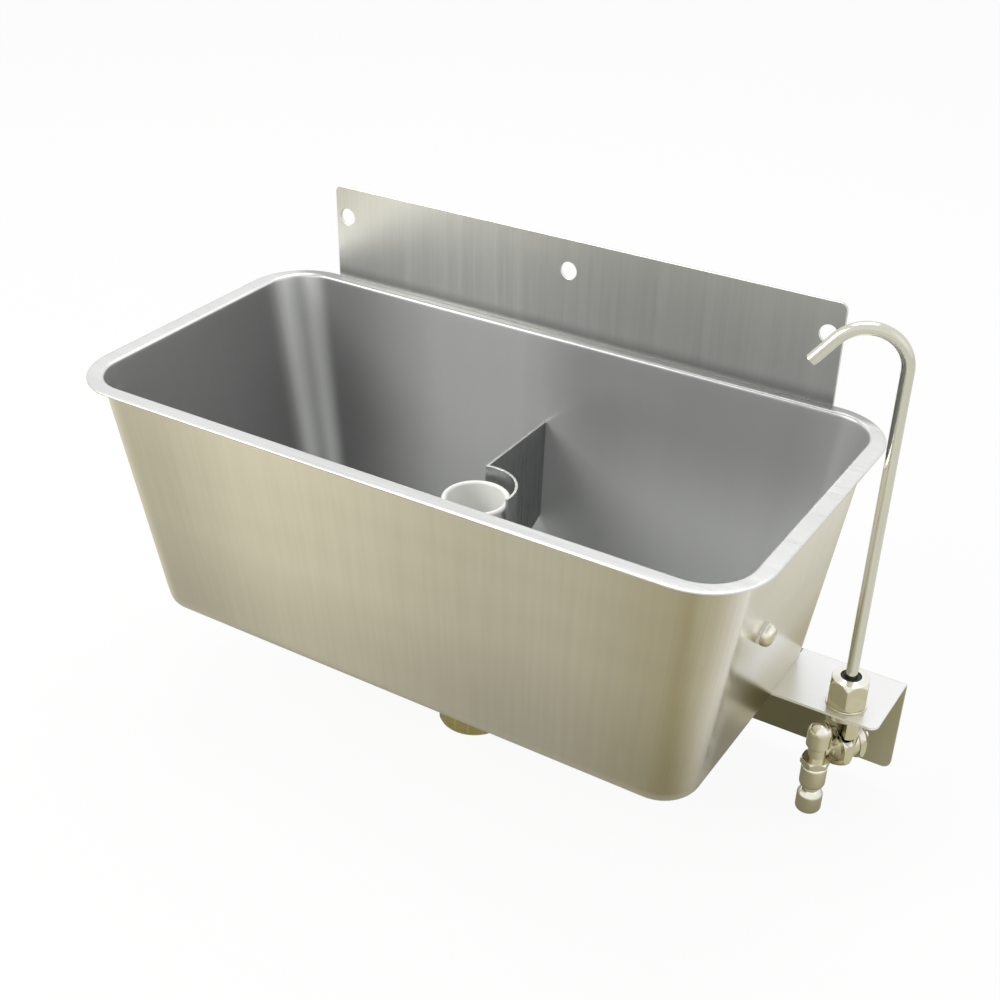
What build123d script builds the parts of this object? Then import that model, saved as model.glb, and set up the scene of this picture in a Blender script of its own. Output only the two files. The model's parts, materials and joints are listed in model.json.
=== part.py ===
from build123d import *
import os
from math import acos, atan2, cos, degrees, radians, sin

# A wall-hung dipper well: a tapered steel tub with a back plate, a lift-out
# standpipe and baffle over its drain, and a swivelling spout on a valve bracket.
# Sizes are in millimetres. X runs along the wall, Y into it and Z up.
# The origin is the middle screw hole of the back plate, in the wall plane.

# Tub
tub_length = 400
tub_width = 200
tub_depth = 147
sheet = 1.2
rim_corner = 36
rim_end_margin = 8.8
rim_front_margin = 8.8
rim_rear_margin = 5.5
mouth_corner = 25.2
end_lean = 19.5
front_lean = 14.3
rear_lean = 6.3
floor_corner = 20.7
floor_bend = 7
rim_bend = 1.3
overrun = 5

# Back plate
plate_length = 321
plate_rise = 57
plate_thickness = 1.5
plate_corner = 4
hole_from_end = 8.1
hole_radius = 5
hole_rise = 39

# Drain, with its centre behind the tub's middle
drain_behind_middle = 4.5
throat_radius = 15.8
tail_radius = 18
recess_radius = 34
recess_depth = 3
flange_radius = 32
flange_thickness = 1.8
flange_edge = 0.8
seal_thickness = 1.2
lower_seal_thickness = 2
slip_ring_thickness = 1
clamp_ring_radius = 29
backnut_across_flats = 46
backnut_height = 8
tail_length = 60
tail_nut_radius = 21.5
tail_nut_height = 17
tail_nut_sides = 16
tail_nut_edge_radius = 3
tail_nut_lip = 3.5
outlet_radius = 14.5
tail_seal_thickness = 2.5
cross_bar_width = 3
cross_bar_depth = 4
cross_bar_seat = 1

# Standpipe
pipe_radius = 17.8
pipe_wall = 2
pipe_top_below_rim = 60
mouth_radius = 19.4
mouth_flare_height = 9
mouth_lip = 3.4
spigot_length = 14
spigot_gap = 0.5
spigot_bore = 12.4
ring_section = 2
running_gap = 0.05
resting_gap = 0.3

# Baffle
baffle_sheet = 1.5
baffle_top_below_rim = 53.5
baffle_arc_radius = 22.95
baffle_arc_shift_x = -1.5
baffle_arc_shift_y = 1
baffle_flat_from_drain = -7.25
baffle_arc_end_angle = -9
baffle_cut_top_above_floor = 30
baffle_cut_length = 60

# Plug in the right end wall, before the tub's middle
plug_before_middle = 25
plug_below_rim = 62.3
plug_head_radius = 5.9
plug_head_height = 5.2
plug_head_skirt = 1.6
plug_shank_radius = 3.5
plug_shank_length = 8
plug_seal_thickness = 1
plug_washer_radius = 7.5
plug_washer_thickness = 0.8
plug_nut_across_flats = 11
plug_nut_height = 3.5
plug_hole_gap = 0.25

# Bracket on the right end wall
bracket_margin = 21.7
bracket_from_wall = 18.8
bracket_depth = 49.4
bracket_above_floor = 7
bracket_drop = 61
bracket_sheet = 1.5
bracket_corner = 5
bracket_bend = 1.5
bracket_under_tub = 32

# Spout
tube_radius = 3.2
tube_bore = 2.4
spout_rim_gap = 6.8
spout_from_wall = 54.5
spout_rise = 54.6
spout_bend = 19.5
spout_heading = 200
spout_dip = 50
spout_tip_length = 15

# Gland on top of the bracket
shank_radius = 7
shank_rise = 14
shank_bore = 4.8
gland_across_flats = 20
gland_turn = 45
gland_hex_height = 16.4
gland_bevel_height = 3.2
gland_cap_height = 0.9
gland_cap_radius = 9.8
gland_mouth_radius = 5.6
gland_mouth_depth = 0.5
gland_washer_radius = 11
washer_thickness = 1
packing_radius = 6.4
packing_thickness = 2.4
ferrule_length = 3
socket_depth = 4
tube_socket = 15

# Valve under the bracket
branch_drop = 28
branch_turn = 30
trunk_radius = 9.5
trunk_flat = 8.1
trunk_front = 4.6
trunk_collar_radius = 10.6
trunk_collar_height = 4
passage_radius = 2.2
riser_radius = 1.6
riser_back = 4
nut_across_flats = 22
nut_back = -1
nut_front = 5
nut_room = 0.5
nose_front = 2.6
nose_bore = 4
branch_seal_radius = 6.2
branch_seal_thickness = 1
neck_flange_thickness = 1.2
bonnet_back = -7
bonnet_hex_length = 4
bonnet_length = 9
bonnet_cone_radius = 9
bonnet_across_flats = 20
bonnet_tip_radius = 4.5
spindle_radius = 2.6
spindle_head_length = 2.5
spindle_slot_width = 0.9
spindle_slot_depth = 1.2
spindle_needle = 3

# Elbow and the inlet fittings below it
elbow_reach = 14.8
elbow_radius = 6.75
elbow_crown = 13.2
elbow_body_rise = 5
elbow_taper = 1.8
elbow_waist_radius = 5
elbow_foot = 4.3
drop_radius = 2.6
neck_radius = 5.9
neck_tip_radius = 4.2
neck_lip_radius = 8.2
neck_cone_length = 2.4
spigot_radius = 4.2
elbow_nut_across_flats = 14.6
elbow_nut_height = 4
elbow_nut_turn = 30
barrel_radius = 7.1
barrel_shoulder = 1.6
barrel_top_radius = 5.2
barrel_taper = 3.8
inlet_spigot_length = 3
check_body_height = 17.1
barrel_waist_radius = 4.8
hose_nut_height = 15.4
hose_nut_edge_radius = 1.6
hose_bore = 3.2
hose_bore_depth = 8
inlet_seal_thickness = 1.6

# Shares
corner_cut_share = 0.85
flare_share = 0.55
lip_share = 0.5

# Levels and places worked out from the sizes above
rim_z = -hole_rise
floor_z = rim_z - tub_depth
floor_top = floor_z + sheet
mouth_half_length = tub_length / 2 - rim_end_margin
mouth_front = -(tub_width - rim_front_margin)
mouth_rear = -rim_rear_margin
drain_y = -tub_width / 2 + drain_behind_middle
plug_y = -tub_width / 2 - plug_before_middle
hole_spacing = plate_length / 2 - hole_from_end
wall_tilt = degrees(atan2(end_lean, tub_depth))


def tapered_tub(inset, top_z, bottom_z, bend):
    """The tub's leaning walls as a solid, drawn in by inset on every side."""
    with BuildPart() as body:
        for z in (top_z, bottom_z):
            share = (rim_z - z) / tub_depth
            front = mouth_front + inset + front_lean * share
            rear = mouth_rear - inset - rear_lean * share
            half_length = mouth_half_length - inset - end_lean * share
            corner = mouth_corner - inset - (mouth_corner - floor_corner) * share
            with BuildSketch(Plane.XY.offset(z)):
                with Locations((0, (front + rear) / 2)):
                    RectangleRounded(2 * half_length, rear - front, corner)
        loft(ruled=True)
        fillet(body.faces().sort_by(Axis.Z)[0].edges(), bend)
    return body


def ring(plane, outer, inner, height):
    """A flat ring that stands on a plane."""
    with BuildPart() as piece:
        with BuildSketch(plane):
            Circle(outer)
            Circle(inner, mode=Mode.SUBTRACT)
        extrude(amount=height)
    return piece


def hex_nut(plane, across_flats, height, bore, turn=0):
    """A hexagon nut on a plane, its corners cut back at both ends."""
    corner = across_flats / (2 * cos(radians(30)))
    cut = (corner - across_flats / 2) * corner_cut_share
    with BuildPart() as piece:
        with BuildSketch(plane):
            Circle(corner)
        extrude(amount=height)
        chamfer(piece.edges().filter_by(GeomType.CIRCLE), cut)
        with BuildSketch(plane):
            RegularPolygon(across_flats / 2, 6, major_radius=False, rotation=turn)
        extrude(amount=height, mode=Mode.INTERSECT)
        with BuildSketch(plane):
            Circle(bore)
        extrude(amount=height, mode=Mode.SUBTRACT)
    return piece


def turned(plane, outline):
    """A turned piece: an outline of (radius, height) points about the plane's normal."""
    side = Plane(origin=plane.origin, x_dir=plane.x_dir, z_dir=-plane.y_dir)
    with BuildPart() as piece:
        with BuildSketch(side):
            with BuildLine():
                Polyline(*outline, close=True)
            make_face()
        revolve(axis=Axis(plane.origin, plane.z_dir))
    return piece


# Tub: one pressed sheet with leaning walls, a flat rim and a recess for the drain
tub_skin = tapered_tub(0, rim_z, floor_z, floor_bend)
tub_hollow = tapered_tub(sheet, rim_z, floor_top, floor_bend - sheet)

plug_drop_share = plug_below_rim / tub_depth
plug_plane = Plane(
    origin=(mouth_half_length - end_lean * plug_drop_share, plug_y, rim_z - plug_below_rim),
    x_dir=(0, 1, 0),
    z_dir=(cos(radians(wall_tilt)), 0, -sin(radians(wall_tilt))),
)

with BuildPart() as tub:
    add(tub_skin.part)
    with BuildSketch(Plane.XY.offset(rim_z)):
        with Locations((0, -tub_width / 2)):
            RectangleRounded(tub_length, tub_width, rim_corner)
    extrude(amount=-sheet)
    with Locations((0, drain_y, floor_z)):
        Cylinder(recess_radius + sheet, recess_depth, align=(Align.CENTER, Align.CENTER, Align.MAX))
    add(tub_hollow.part, mode=Mode.SUBTRACT)
    with Locations((0, drain_y, floor_top)):
        Cylinder(recess_radius, recess_depth, align=(Align.CENTER, Align.CENTER, Align.MAX), mode=Mode.SUBTRACT)
        Cylinder(tail_radius + running_gap, 2 * (recess_depth + overrun), mode=Mode.SUBTRACT)
    with BuildSketch(plug_plane):
        Circle(plug_shank_radius + plug_hole_gap)
    extrude(amount=overrun, both=True, mode=Mode.SUBTRACT)
    mouth_edges = tub.faces().sort_by(Axis.Z)[-1].inner_wires()[0].edges()
    fillet(mouth_edges, rim_bend + sheet)

# Back plate: stands on the rim's rear edge and takes three wall screws
plate_top = rim_z + plate_rise
with BuildPart() as back_plate:
    with BuildSketch(Plane.XZ) as plate_face:
        with Locations((0, (rim_z + plate_top) / 2)):
            Rectangle(plate_length, plate_rise)
        fillet(plate_face.vertices().group_by(Axis.Y)[-1], plate_corner)
        with GridLocations(hole_spacing, 0, 3, 1):
            Circle(hole_radius, mode=Mode.SUBTRACT)
    extrude(amount=plate_thickness)

# Drain: a flanged waste through the recess, clamped by a backnut between seals
recess_floor = floor_top - recess_depth
flange_top = recess_floor + seal_thickness + flange_thickness
tail_foot = floor_z - tail_length
waste_profile = [
    (throat_radius, flange_top),
    (flange_radius - flange_edge, flange_top),
    (flange_radius, flange_top - flange_edge),
    (flange_radius, recess_floor + seal_thickness),
    (tail_radius, recess_floor + seal_thickness),
    (tail_radius, tail_foot),
    (throat_radius, tail_foot),
]
drain_axis = Plane(origin=(0, drain_y, 0), x_dir=(1, 0, 0), z_dir=(0, 0, 1))
bar_top = floor_z - spigot_length - recess_depth
waste_blank = turned(drain_axis, waste_profile)
with BuildPart() as waste:
    add(waste_blank.part)
    for turn in (0, 90):
        with Locations(Location((0, drain_y, bar_top), (0, 0, turn))):
            Box(
                2 * throat_radius + cross_bar_seat,
                cross_bar_width,
                cross_bar_depth,
                align=(Align.CENTER, Align.CENTER, Align.MAX),
            )

waste_seal = ring(drain_axis.offset(recess_floor), flange_radius, tail_radius + running_gap, seal_thickness)
recess_under = recess_floor - sheet
lower_seal_plane = drain_axis.offset(recess_under - lower_seal_thickness)
lower_seal = ring(lower_seal_plane, clamp_ring_radius, tail_radius + running_gap, lower_seal_thickness)
slip_plane = lower_seal_plane.offset(-slip_ring_thickness)
slip_ring = ring(slip_plane, clamp_ring_radius, tail_radius + running_gap, slip_ring_thickness)
backnut = hex_nut(slip_plane.offset(-backnut_height), backnut_across_flats, backnut_height, tail_radius)

# Tail nut: a faceted brass union nut that holds the outlet seal against the tail
tail_seal_plane = drain_axis.offset(tail_foot - tail_seal_thickness)
tail_seal = ring(tail_seal_plane, tail_radius, outlet_radius, tail_seal_thickness)
tail_nut_plane = tail_seal_plane.offset(-tail_nut_lip)
with BuildPart() as tail_nut:
    with BuildSketch(tail_nut_plane):
        RegularPolygon(tail_nut_radius, tail_nut_sides)
    extrude(amount=tail_nut_height)
    fillet(tail_nut.faces().filter_by(Axis.Z).edges(), tail_nut_edge_radius)
    with BuildSketch(tail_nut_plane):
        Circle(outlet_radius)
    extrude(amount=tail_nut_height, mode=Mode.SUBTRACT)
    with BuildSketch(tail_seal_plane):
        Circle(tail_radius)
    extrude(amount=tail_nut_height, mode=Mode.SUBTRACT)

# Standpipe: a moulded tube with a bell mouth, its spigot loose in the waste
pipe_foot = flange_top + resting_gap
pipe_top = rim_z - pipe_top_below_rim
pipe_bore = pipe_radius - pipe_wall
spigot_radius_outer = throat_radius - spigot_gap
spigot_foot = pipe_foot - spigot_length
flare_foot = pipe_top - mouth_flare_height
groove_z = spigot_foot + spigot_length / 2
ring_centre = throat_radius - running_gap - ring_section / 2
with BuildPart() as standpipe:
    with BuildSketch(Plane.XZ.offset(-drain_y)) as pipe_half:
        with BuildLine():
            bore_top = (mouth_radius - mouth_lip, pipe_top - mouth_lip * lip_share)
            lip_top = (mouth_radius - mouth_lip * lip_share, pipe_top)
            lip_side = (mouth_radius, pipe_top - mouth_lip * lip_share)
            flare_under = (mouth_radius - mouth_lip * lip_share, pipe_top - mouth_lip)
            ThreePointArc(bore_top, lip_top, lip_side)
            Line(lip_side, flare_under)
            Line(flare_under, (pipe_radius, flare_foot))
            Line((pipe_radius, flare_foot), (pipe_radius, pipe_foot))
            Line((pipe_radius, pipe_foot), (spigot_radius_outer, pipe_foot))
            Line((spigot_radius_outer, pipe_foot), (spigot_radius_outer, spigot_foot))
            Line((spigot_radius_outer, spigot_foot), (spigot_bore, spigot_foot))
            Line((spigot_bore, spigot_foot), (spigot_bore, pipe_foot + pipe_wall))
            Line((spigot_bore, pipe_foot + pipe_wall), (pipe_bore, pipe_foot + pipe_wall))
            Line((pipe_bore, pipe_foot + pipe_wall), (pipe_bore, flare_foot))
            Line((pipe_bore, flare_foot), bore_top)
        make_face()
        with Locations((ring_centre, groove_z)):
            Circle(ring_section / 2, mode=Mode.SUBTRACT)
        with Locations((ring_centre, groove_z)):
            Rectangle(ring_section, ring_section, align=(Align.MIN, Align.CENTER), mode=Mode.SUBTRACT)
    revolve(axis=Axis((0, drain_y, 0), (0, 0, 1)))

# O-ring: sits in the spigot's groove and runs in the waste's throat
with BuildPart() as standpipe_ring:
    with BuildSketch(Plane.XZ.offset(-drain_y)):
        with Locations((ring_centre, groove_z)):
            Circle(ring_section / 2)
    revolve(axis=Axis((0, drain_y, 0), (0, 0, 1)))

# Baffle: one folded strip, flat from the rear wall, then curled round the standpipe
baffle_top = rim_z - baffle_top_below_rim
baffle_foot = flange_top + resting_gap
arc_x = baffle_arc_shift_x
arc_y = drain_y + baffle_arc_shift_y
flat_right = baffle_flat_from_drain + baffle_sheet / 2
flat_left = baffle_flat_from_drain - baffle_sheet / 2
arc_outer = baffle_arc_radius + baffle_sheet / 2
arc_inner = baffle_arc_radius - baffle_sheet / 2
outer_start = degrees(acos((flat_right - arc_x) / arc_outer))
inner_start = degrees(acos((flat_left - arc_x) / arc_inner))
baffle_room = tapered_tub(sheet + resting_gap, rim_z, floor_top + resting_gap, floor_bend - sheet)
with BuildPart() as baffle:
    with BuildSketch(Plane.XY.offset(baffle_foot)):
        with BuildLine():
            outside = CenterArc((arc_x, arc_y), arc_outer, outer_start, baffle_arc_end_angle - outer_start)
            inside = CenterArc((arc_x, arc_y), arc_inner, inner_start, baffle_arc_end_angle - inner_start)
            Line((flat_right, mouth_rear), outside @ 0)
            Line(outside @ 1, inside @ 1)
            Line(inside @ 0, (flat_left, mouth_rear))
            Line((flat_left, mouth_rear), (flat_right, mouth_rear))
        make_face()
    extrude(amount=baffle_top - baffle_foot)
    add(baffle_room.part, mode=Mode.INTERSECT)
    with BuildSketch(Plane.YZ.offset(baffle_flat_from_drain)):
        with BuildLine():
            Polyline(
                (mouth_rear, baffle_foot + baffle_cut_top_above_floor),
                (mouth_rear - rear_lean, baffle_foot + baffle_cut_top_above_floor),
                (mouth_rear - rear_lean - baffle_cut_length, baffle_foot),
                (mouth_rear - rear_lean - baffle_cut_length, baffle_foot - overrun),
                (mouth_rear, baffle_foot - overrun),
                close=True,
            )
        make_face()
    extrude(amount=baffle_sheet, both=True, mode=Mode.SUBTRACT)

# End plug: a domed stud that closes the spare hole in the right end wall
plug_head_plane = plug_plane.offset(plug_seal_thickness)
plug_seal = ring(plug_plane, plug_head_radius, plug_shank_radius, plug_seal_thickness)
dome_rise = plug_head_height - plug_head_skirt
with BuildPart() as end_plug:
    head_side = Plane(plug_head_plane.origin, x_dir=plug_head_plane.x_dir, z_dir=-plug_head_plane.y_dir)
    with BuildSketch(head_side):
        with BuildLine():
            Line((0, 0), (plug_head_radius, 0))
            Line((plug_head_radius, 0), (plug_head_radius, plug_head_skirt))
            JernArc((plug_head_radius, plug_head_skirt), (0, 1), dome_rise, 90)
            Line((plug_head_radius - dome_rise, plug_head_height), (0, plug_head_height))
            Line((0, plug_head_height), (0, 0))
        make_face()
    revolve(axis=Axis(plug_head_plane.origin, plug_head_plane.z_dir))
    with BuildSketch(plug_head_plane):
        Circle(plug_shank_radius)
    extrude(amount=-plug_shank_length)

plug_washer_plane = plug_plane.offset(-sheet - plug_washer_thickness)
plug_washer = ring(plug_washer_plane, plug_washer_radius, plug_shank_radius, plug_washer_thickness)
plug_nut_plane = plug_washer_plane.offset(-plug_nut_height)
plug_nut = hex_nut(plug_nut_plane, plug_nut_across_flats, plug_nut_height, plug_shank_radius)

# Bracket: an angle welded to the end wall, its rear leg running under the tub
bracket_top = floor_z + bracket_above_floor
bracket_rear = -bracket_from_wall
bracket_front = bracket_rear - bracket_depth
spout_x = tub_length / 2 + spout_rim_gap + tube_radius
bracket_reach = spout_x + bracket_margin
floor_half_length = mouth_half_length - end_lean
leg_start = floor_half_length - bracket_under_tub
with BuildPart() as bracket:
    with BuildSketch(Plane.XY.offset(bracket_top)) as shelf:
        with Locations((leg_start, bracket_front)):
            Rectangle(bracket_reach - leg_start, bracket_depth, align=(Align.MIN, Align.MIN))
        fillet(shelf.vertices().group_by(Axis.X)[-1].sort_by(Axis.Y)[0], bracket_corner)
    extrude(amount=-bracket_sheet)
    with BuildSketch(Plane.XZ.offset(-bracket_rear)) as leg:
        with Locations((leg_start, bracket_top - bracket_drop)):
            Rectangle(bracket_reach - leg_start, bracket_drop, align=(Align.MIN, Align.MIN))
        fillet(leg.vertices().group_by(Axis.Y)[0], bracket_corner)
    extrude(amount=bracket_sheet)
    long_edges = bracket.edges().filter_by(Axis.X)
    outer_bend = long_edges.sort_by_distance((spout_x, bracket_rear, bracket_top))[0]
    inner_corner = (spout_x, bracket_rear - bracket_sheet, bracket_top - bracket_sheet)
    inner_bend = long_edges.sort_by_distance(inner_corner)[0]
    fillet(outer_bend, bracket_bend + bracket_sheet)
    fillet(inner_bend, bracket_bend)
    add(tub_skin.part, mode=Mode.SUBTRACT)
    with Locations((leg_start, bracket_front, floor_z)):
        Box(
            bracket_under_tub,
            bracket_depth - bracket_sheet,
            bracket_drop,
            align=(Align.MIN, Align.MIN, Align.MIN),
            mode=Mode.SUBTRACT,
        )
    with Locations((spout_x, -spout_from_wall, bracket_top)):
        Cylinder(shank_radius + running_gap, 2 * bracket_sheet + overrun, mode=Mode.SUBTRACT)

# Valve: a shank through the bracket with the tube's socket, and a branch to the front
spout_y = -spout_from_wall
bracket_under = bracket_top - bracket_sheet
branch_z = bracket_top - branch_drop
tube_axis = Plane(origin=(spout_x, spout_y, 0), x_dir=(1, 0, 0), z_dir=(0, 0, 1))
forward = Vector(-sin(radians(branch_turn)), -cos(radians(branch_turn)), 0)
branch = Plane(origin=(spout_x, spout_y, branch_z), x_dir=(0, 0, 1), z_dir=forward)
shank_top = bracket_top + shank_rise
collar_top = bracket_under - washer_thickness
nut_corner = nut_across_flats / (2 * cos(radians(30)))
nut_clear = nut_corner + nut_room
bonnet_clear = bonnet_across_flats / (2 * cos(radians(30))) + nut_room
barrel_front = nut_back - running_gap
tube_foot = shank_top - tube_socket
riser_foot = branch.offset(-riser_back).origin
riser_plane = Plane(origin=(riser_foot.X, riser_foot.Y, branch_z), x_dir=(1, 0, 0), z_dir=(0, 0, 1))
trunk_side = Plane(origin=(spout_x, spout_y, branch_z), x_dir=forward, z_dir=(0, 0, 1))
with BuildPart() as valve_body:
    with BuildSketch(trunk_side):
        Circle(trunk_radius)
        with Locations((trunk_front, 0)):
            Rectangle(
                trunk_flat + trunk_front,
                2 * trunk_radius,
                align=(Align.MAX, Align.CENTER),
                mode=Mode.INTERSECT,
            )
    extrude(amount=collar_top - branch_z)
    with BuildSketch(tube_axis.offset(collar_top)):
        Circle(trunk_collar_radius)
    extrude(amount=-trunk_collar_height)
    with BuildSketch(branch.offset(barrel_front)):
        Circle(nut_clear)
    extrude(amount=2 * trunk_radius, mode=Mode.SUBTRACT)
    with BuildSketch(branch.offset(bonnet_back)):
        Circle(bonnet_clear)
    extrude(amount=-2 * trunk_radius, mode=Mode.SUBTRACT)
    with BuildSketch(tube_axis.offset(collar_top)):
        Circle(shank_radius)
    extrude(amount=shank_top - collar_top)
    with BuildSketch(branch.offset(bonnet_back)):
        Circle(trunk_radius)
    extrude(amount=barrel_front - bonnet_back)
    with BuildSketch(branch.offset(barrel_front)):
        Circle(shank_radius)
    extrude(amount=nose_front - barrel_front)
    with BuildSketch(branch.offset(bonnet_back)):
        Circle(passage_radius)
    extrude(amount=nose_front - bonnet_back, mode=Mode.SUBTRACT)
    with BuildSketch(riser_plane):
        Circle(riser_radius)
    extrude(amount=nut_clear + passage_radius, mode=Mode.SUBTRACT)
    with BuildSketch(tube_axis.offset(branch_z + nut_clear + nut_room)):
        Circle(passage_radius)
    extrude(amount=shank_top - branch_z - nut_clear, mode=Mode.SUBTRACT)
    with BuildSketch(tube_axis.offset(tube_foot)):
        Circle(tube_radius + running_gap)
    extrude(amount=shank_top - tube_foot, mode=Mode.SUBTRACT)
    with BuildSketch(tube_axis.offset(shank_top - socket_depth)):
        Circle(shank_bore)
    extrude(amount=socket_depth, mode=Mode.SUBTRACT)

under_washer = ring(tube_axis.offset(collar_top), trunk_collar_radius, shank_radius, washer_thickness)
gland_washer = ring(tube_axis.offset(bracket_top), gland_washer_radius, shank_radius, washer_thickness)

# Gland nut: a tall bevelled hexagon with a shallow coned top, open round the tube
gland_foot = bracket_top + washer_thickness
gland_hex_top = gland_foot + gland_hex_height
gland_top = gland_hex_top + gland_cap_height
packing_foot = shank_top
packing_top = packing_foot + packing_thickness
gland_corner = gland_across_flats / (2 * cos(radians(30)))
gland_cut = (gland_corner - gland_across_flats / 2) * corner_cut_share
gland_blank_profile = [
    (0, gland_foot),
    (gland_corner - gland_cut, gland_foot),
    (gland_corner, gland_foot + gland_cut),
    (gland_corner, gland_hex_top - gland_bevel_height),
    (gland_cap_radius, gland_hex_top),
    (gland_mouth_radius, gland_top),
    (0, gland_top),
]
gland_blank = turned(tube_axis, gland_blank_profile)
with BuildPart() as gland_nut:
    add(gland_blank.part)
    with BuildSketch(tube_axis.offset(gland_foot)):
        RegularPolygon(gland_across_flats / 2, 6, major_radius=False, rotation=gland_turn)
    extrude(amount=gland_top - gland_foot, mode=Mode.INTERSECT)
    with BuildSketch(tube_axis.offset(gland_foot)):
        Circle(shank_radius)
    extrude(amount=packing_top - gland_foot, mode=Mode.SUBTRACT)
    with BuildSketch(tube_axis.offset(gland_foot)):
        Circle(gland_mouth_radius)
    extrude(amount=gland_top - gland_foot, mode=Mode.SUBTRACT)

# Packing: a flange under the nut's roof, with a collar up through its mouth
packing_bore = tube_radius + running_gap
packing_collar = gland_mouth_radius - running_gap
packing_profile = [
    (packing_bore, packing_foot),
    (packing_radius, packing_foot),
    (packing_radius, packing_top),
    (packing_collar, packing_top),
    (packing_collar, gland_top - gland_mouth_depth),
    (packing_bore, gland_top - gland_mouth_depth),
]
gland_packing = turned(tube_axis, packing_profile)

# Spout: one bent tube that turns in the gland, held down by a ferrule
tube_bottom = tube_foot + resting_gap
bend_z = rim_z + spout_rise
out_x = cos(radians(spout_heading))
out_y = sin(radians(spout_heading))


def spout_point(reach, z):
    """A point of the spout's centre line, in the upright plane that it bends in."""
    return Vector(spout_x + out_x * reach, spout_y + out_y * reach, z)


dip = radians(spout_dip)
bend_start = spout_point(0, bend_z)
half_turn = (radians(90) + dip) / 2
bend_half = spout_point(
    spout_bend * (1 - cos(half_turn)),
    bend_z + spout_bend * sin(half_turn),
)
bend_end = spout_point(spout_bend * (1 + sin(dip)), bend_z + spout_bend * cos(dip))
tip = spout_point(
    spout_bend * (1 + sin(dip)) + spout_tip_length * cos(dip),
    bend_z + spout_bend * cos(dip) - spout_tip_length * sin(dip),
)
with BuildPart() as spout:
    with BuildLine() as centre_line:
        Line(spout_point(0, tube_bottom), bend_start)
        ThreePointArc(bend_start, bend_half, bend_end)
        Line(bend_end, tip)
    with BuildSketch(tube_axis.offset(tube_bottom)):
        Circle(tube_radius)
        Circle(tube_bore, mode=Mode.SUBTRACT)
    sweep(path=centre_line.line)

ferrule_top = shank_top - resting_gap
spout_ferrule = ring(
    tube_axis.offset(ferrule_top - ferrule_length), shank_bore - running_gap, tube_radius, ferrule_length
)

# Union nut: draws the elbow's flange against the valve's nose
flange_back = nose_front + branch_seal_thickness
lip_back = flange_back + neck_flange_thickness
union_blank = hex_nut(branch.offset(nut_back), nut_across_flats, nut_front - nut_back, neck_radius)
with BuildPart() as union_nut:
    add(union_blank.part)
    with BuildSketch(branch.offset(nut_back)):
        Circle(shank_radius)
    extrude(amount=lip_back - nut_back, mode=Mode.SUBTRACT)
branch_seal = ring(branch.offset(nose_front), branch_seal_radius, nose_bore, branch_seal_thickness)

# Elbow: a domed upright body, waisted at its foot, with a coned neck to the union nut
elbow_x = spout_x + forward.X * elbow_reach
elbow_y = spout_y + forward.Y * elbow_reach
elbow_axis = Plane(origin=(elbow_x, elbow_y, 0), x_dir=(1, 0, 0), z_dir=(0, 0, 1))
elbow_bottom = branch_z - elbow_foot
crown_z = branch_z + elbow_crown
body_bottom = branch_z + elbow_body_rise
nut_foot = elbow_bottom - elbow_nut_height
inlet_depth = nut_foot - inlet_spigot_length
neck_profile = [
    (0, flange_back),
    (shank_radius - running_gap, flange_back),
    (shank_radius - running_gap, lip_back),
    (neck_radius - running_gap, lip_back),
    (neck_radius - running_gap, nut_front),
    (neck_lip_radius, nut_front),
    (neck_tip_radius, nut_front + neck_cone_length),
    (neck_tip_radius, elbow_reach),
    (0, elbow_reach),
]
neck = turned(branch, neck_profile)
elbow_side = Plane(origin=(elbow_x, elbow_y, 0), x_dir=(1, 0, 0), z_dir=(0, -1, 0))
with BuildPart() as elbow:
    with BuildSketch(elbow_side):
        with BuildLine():
            Line((0, elbow_bottom), (elbow_waist_radius, elbow_bottom))
            Line((elbow_waist_radius, elbow_bottom), (elbow_waist_radius, body_bottom - elbow_taper))
            Line((elbow_waist_radius, body_bottom - elbow_taper), (elbow_radius, body_bottom))
            Line((elbow_radius, body_bottom), (elbow_radius, crown_z))
            JernArc((elbow_radius, crown_z), (0, 1), elbow_radius, 90)
            Line((0, crown_z + elbow_radius), (0, elbow_bottom))
        make_face()
    revolve(axis=Axis((elbow_x, elbow_y, 0), (0, 0, 1)))
    add(neck.part)
    with BuildSketch(elbow_axis.offset(elbow_bottom)):
        Circle(spigot_radius)
    extrude(amount=inlet_depth - elbow_bottom)
    with BuildSketch(branch.offset(flange_back)):
        Circle(passage_radius)
    extrude(amount=elbow_reach - flange_back, mode=Mode.SUBTRACT)
    with BuildSketch(elbow_axis.offset(inlet_depth)):
        Circle(drop_radius)
    extrude(amount=branch_z + drop_radius - inlet_depth, mode=Mode.SUBTRACT)

elbow_nut = hex_nut(
    elbow_axis.offset(nut_foot), elbow_nut_across_flats, elbow_nut_height, spigot_radius, elbow_nut_turn
)

# Check body: the upper barrel on the elbow's spigot
check_foot = nut_foot - check_body_height
check_profile = [
    (passage_radius, inlet_depth),
    (spigot_radius, inlet_depth),
    (spigot_radius, nut_foot),
    (barrel_top_radius, nut_foot),
    (barrel_radius, nut_foot - barrel_shoulder),
    (barrel_radius, check_foot + barrel_taper),
    (barrel_waist_radius, check_foot),
    (passage_radius, check_foot),
]
check_body = turned(elbow_axis, check_profile)

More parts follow.
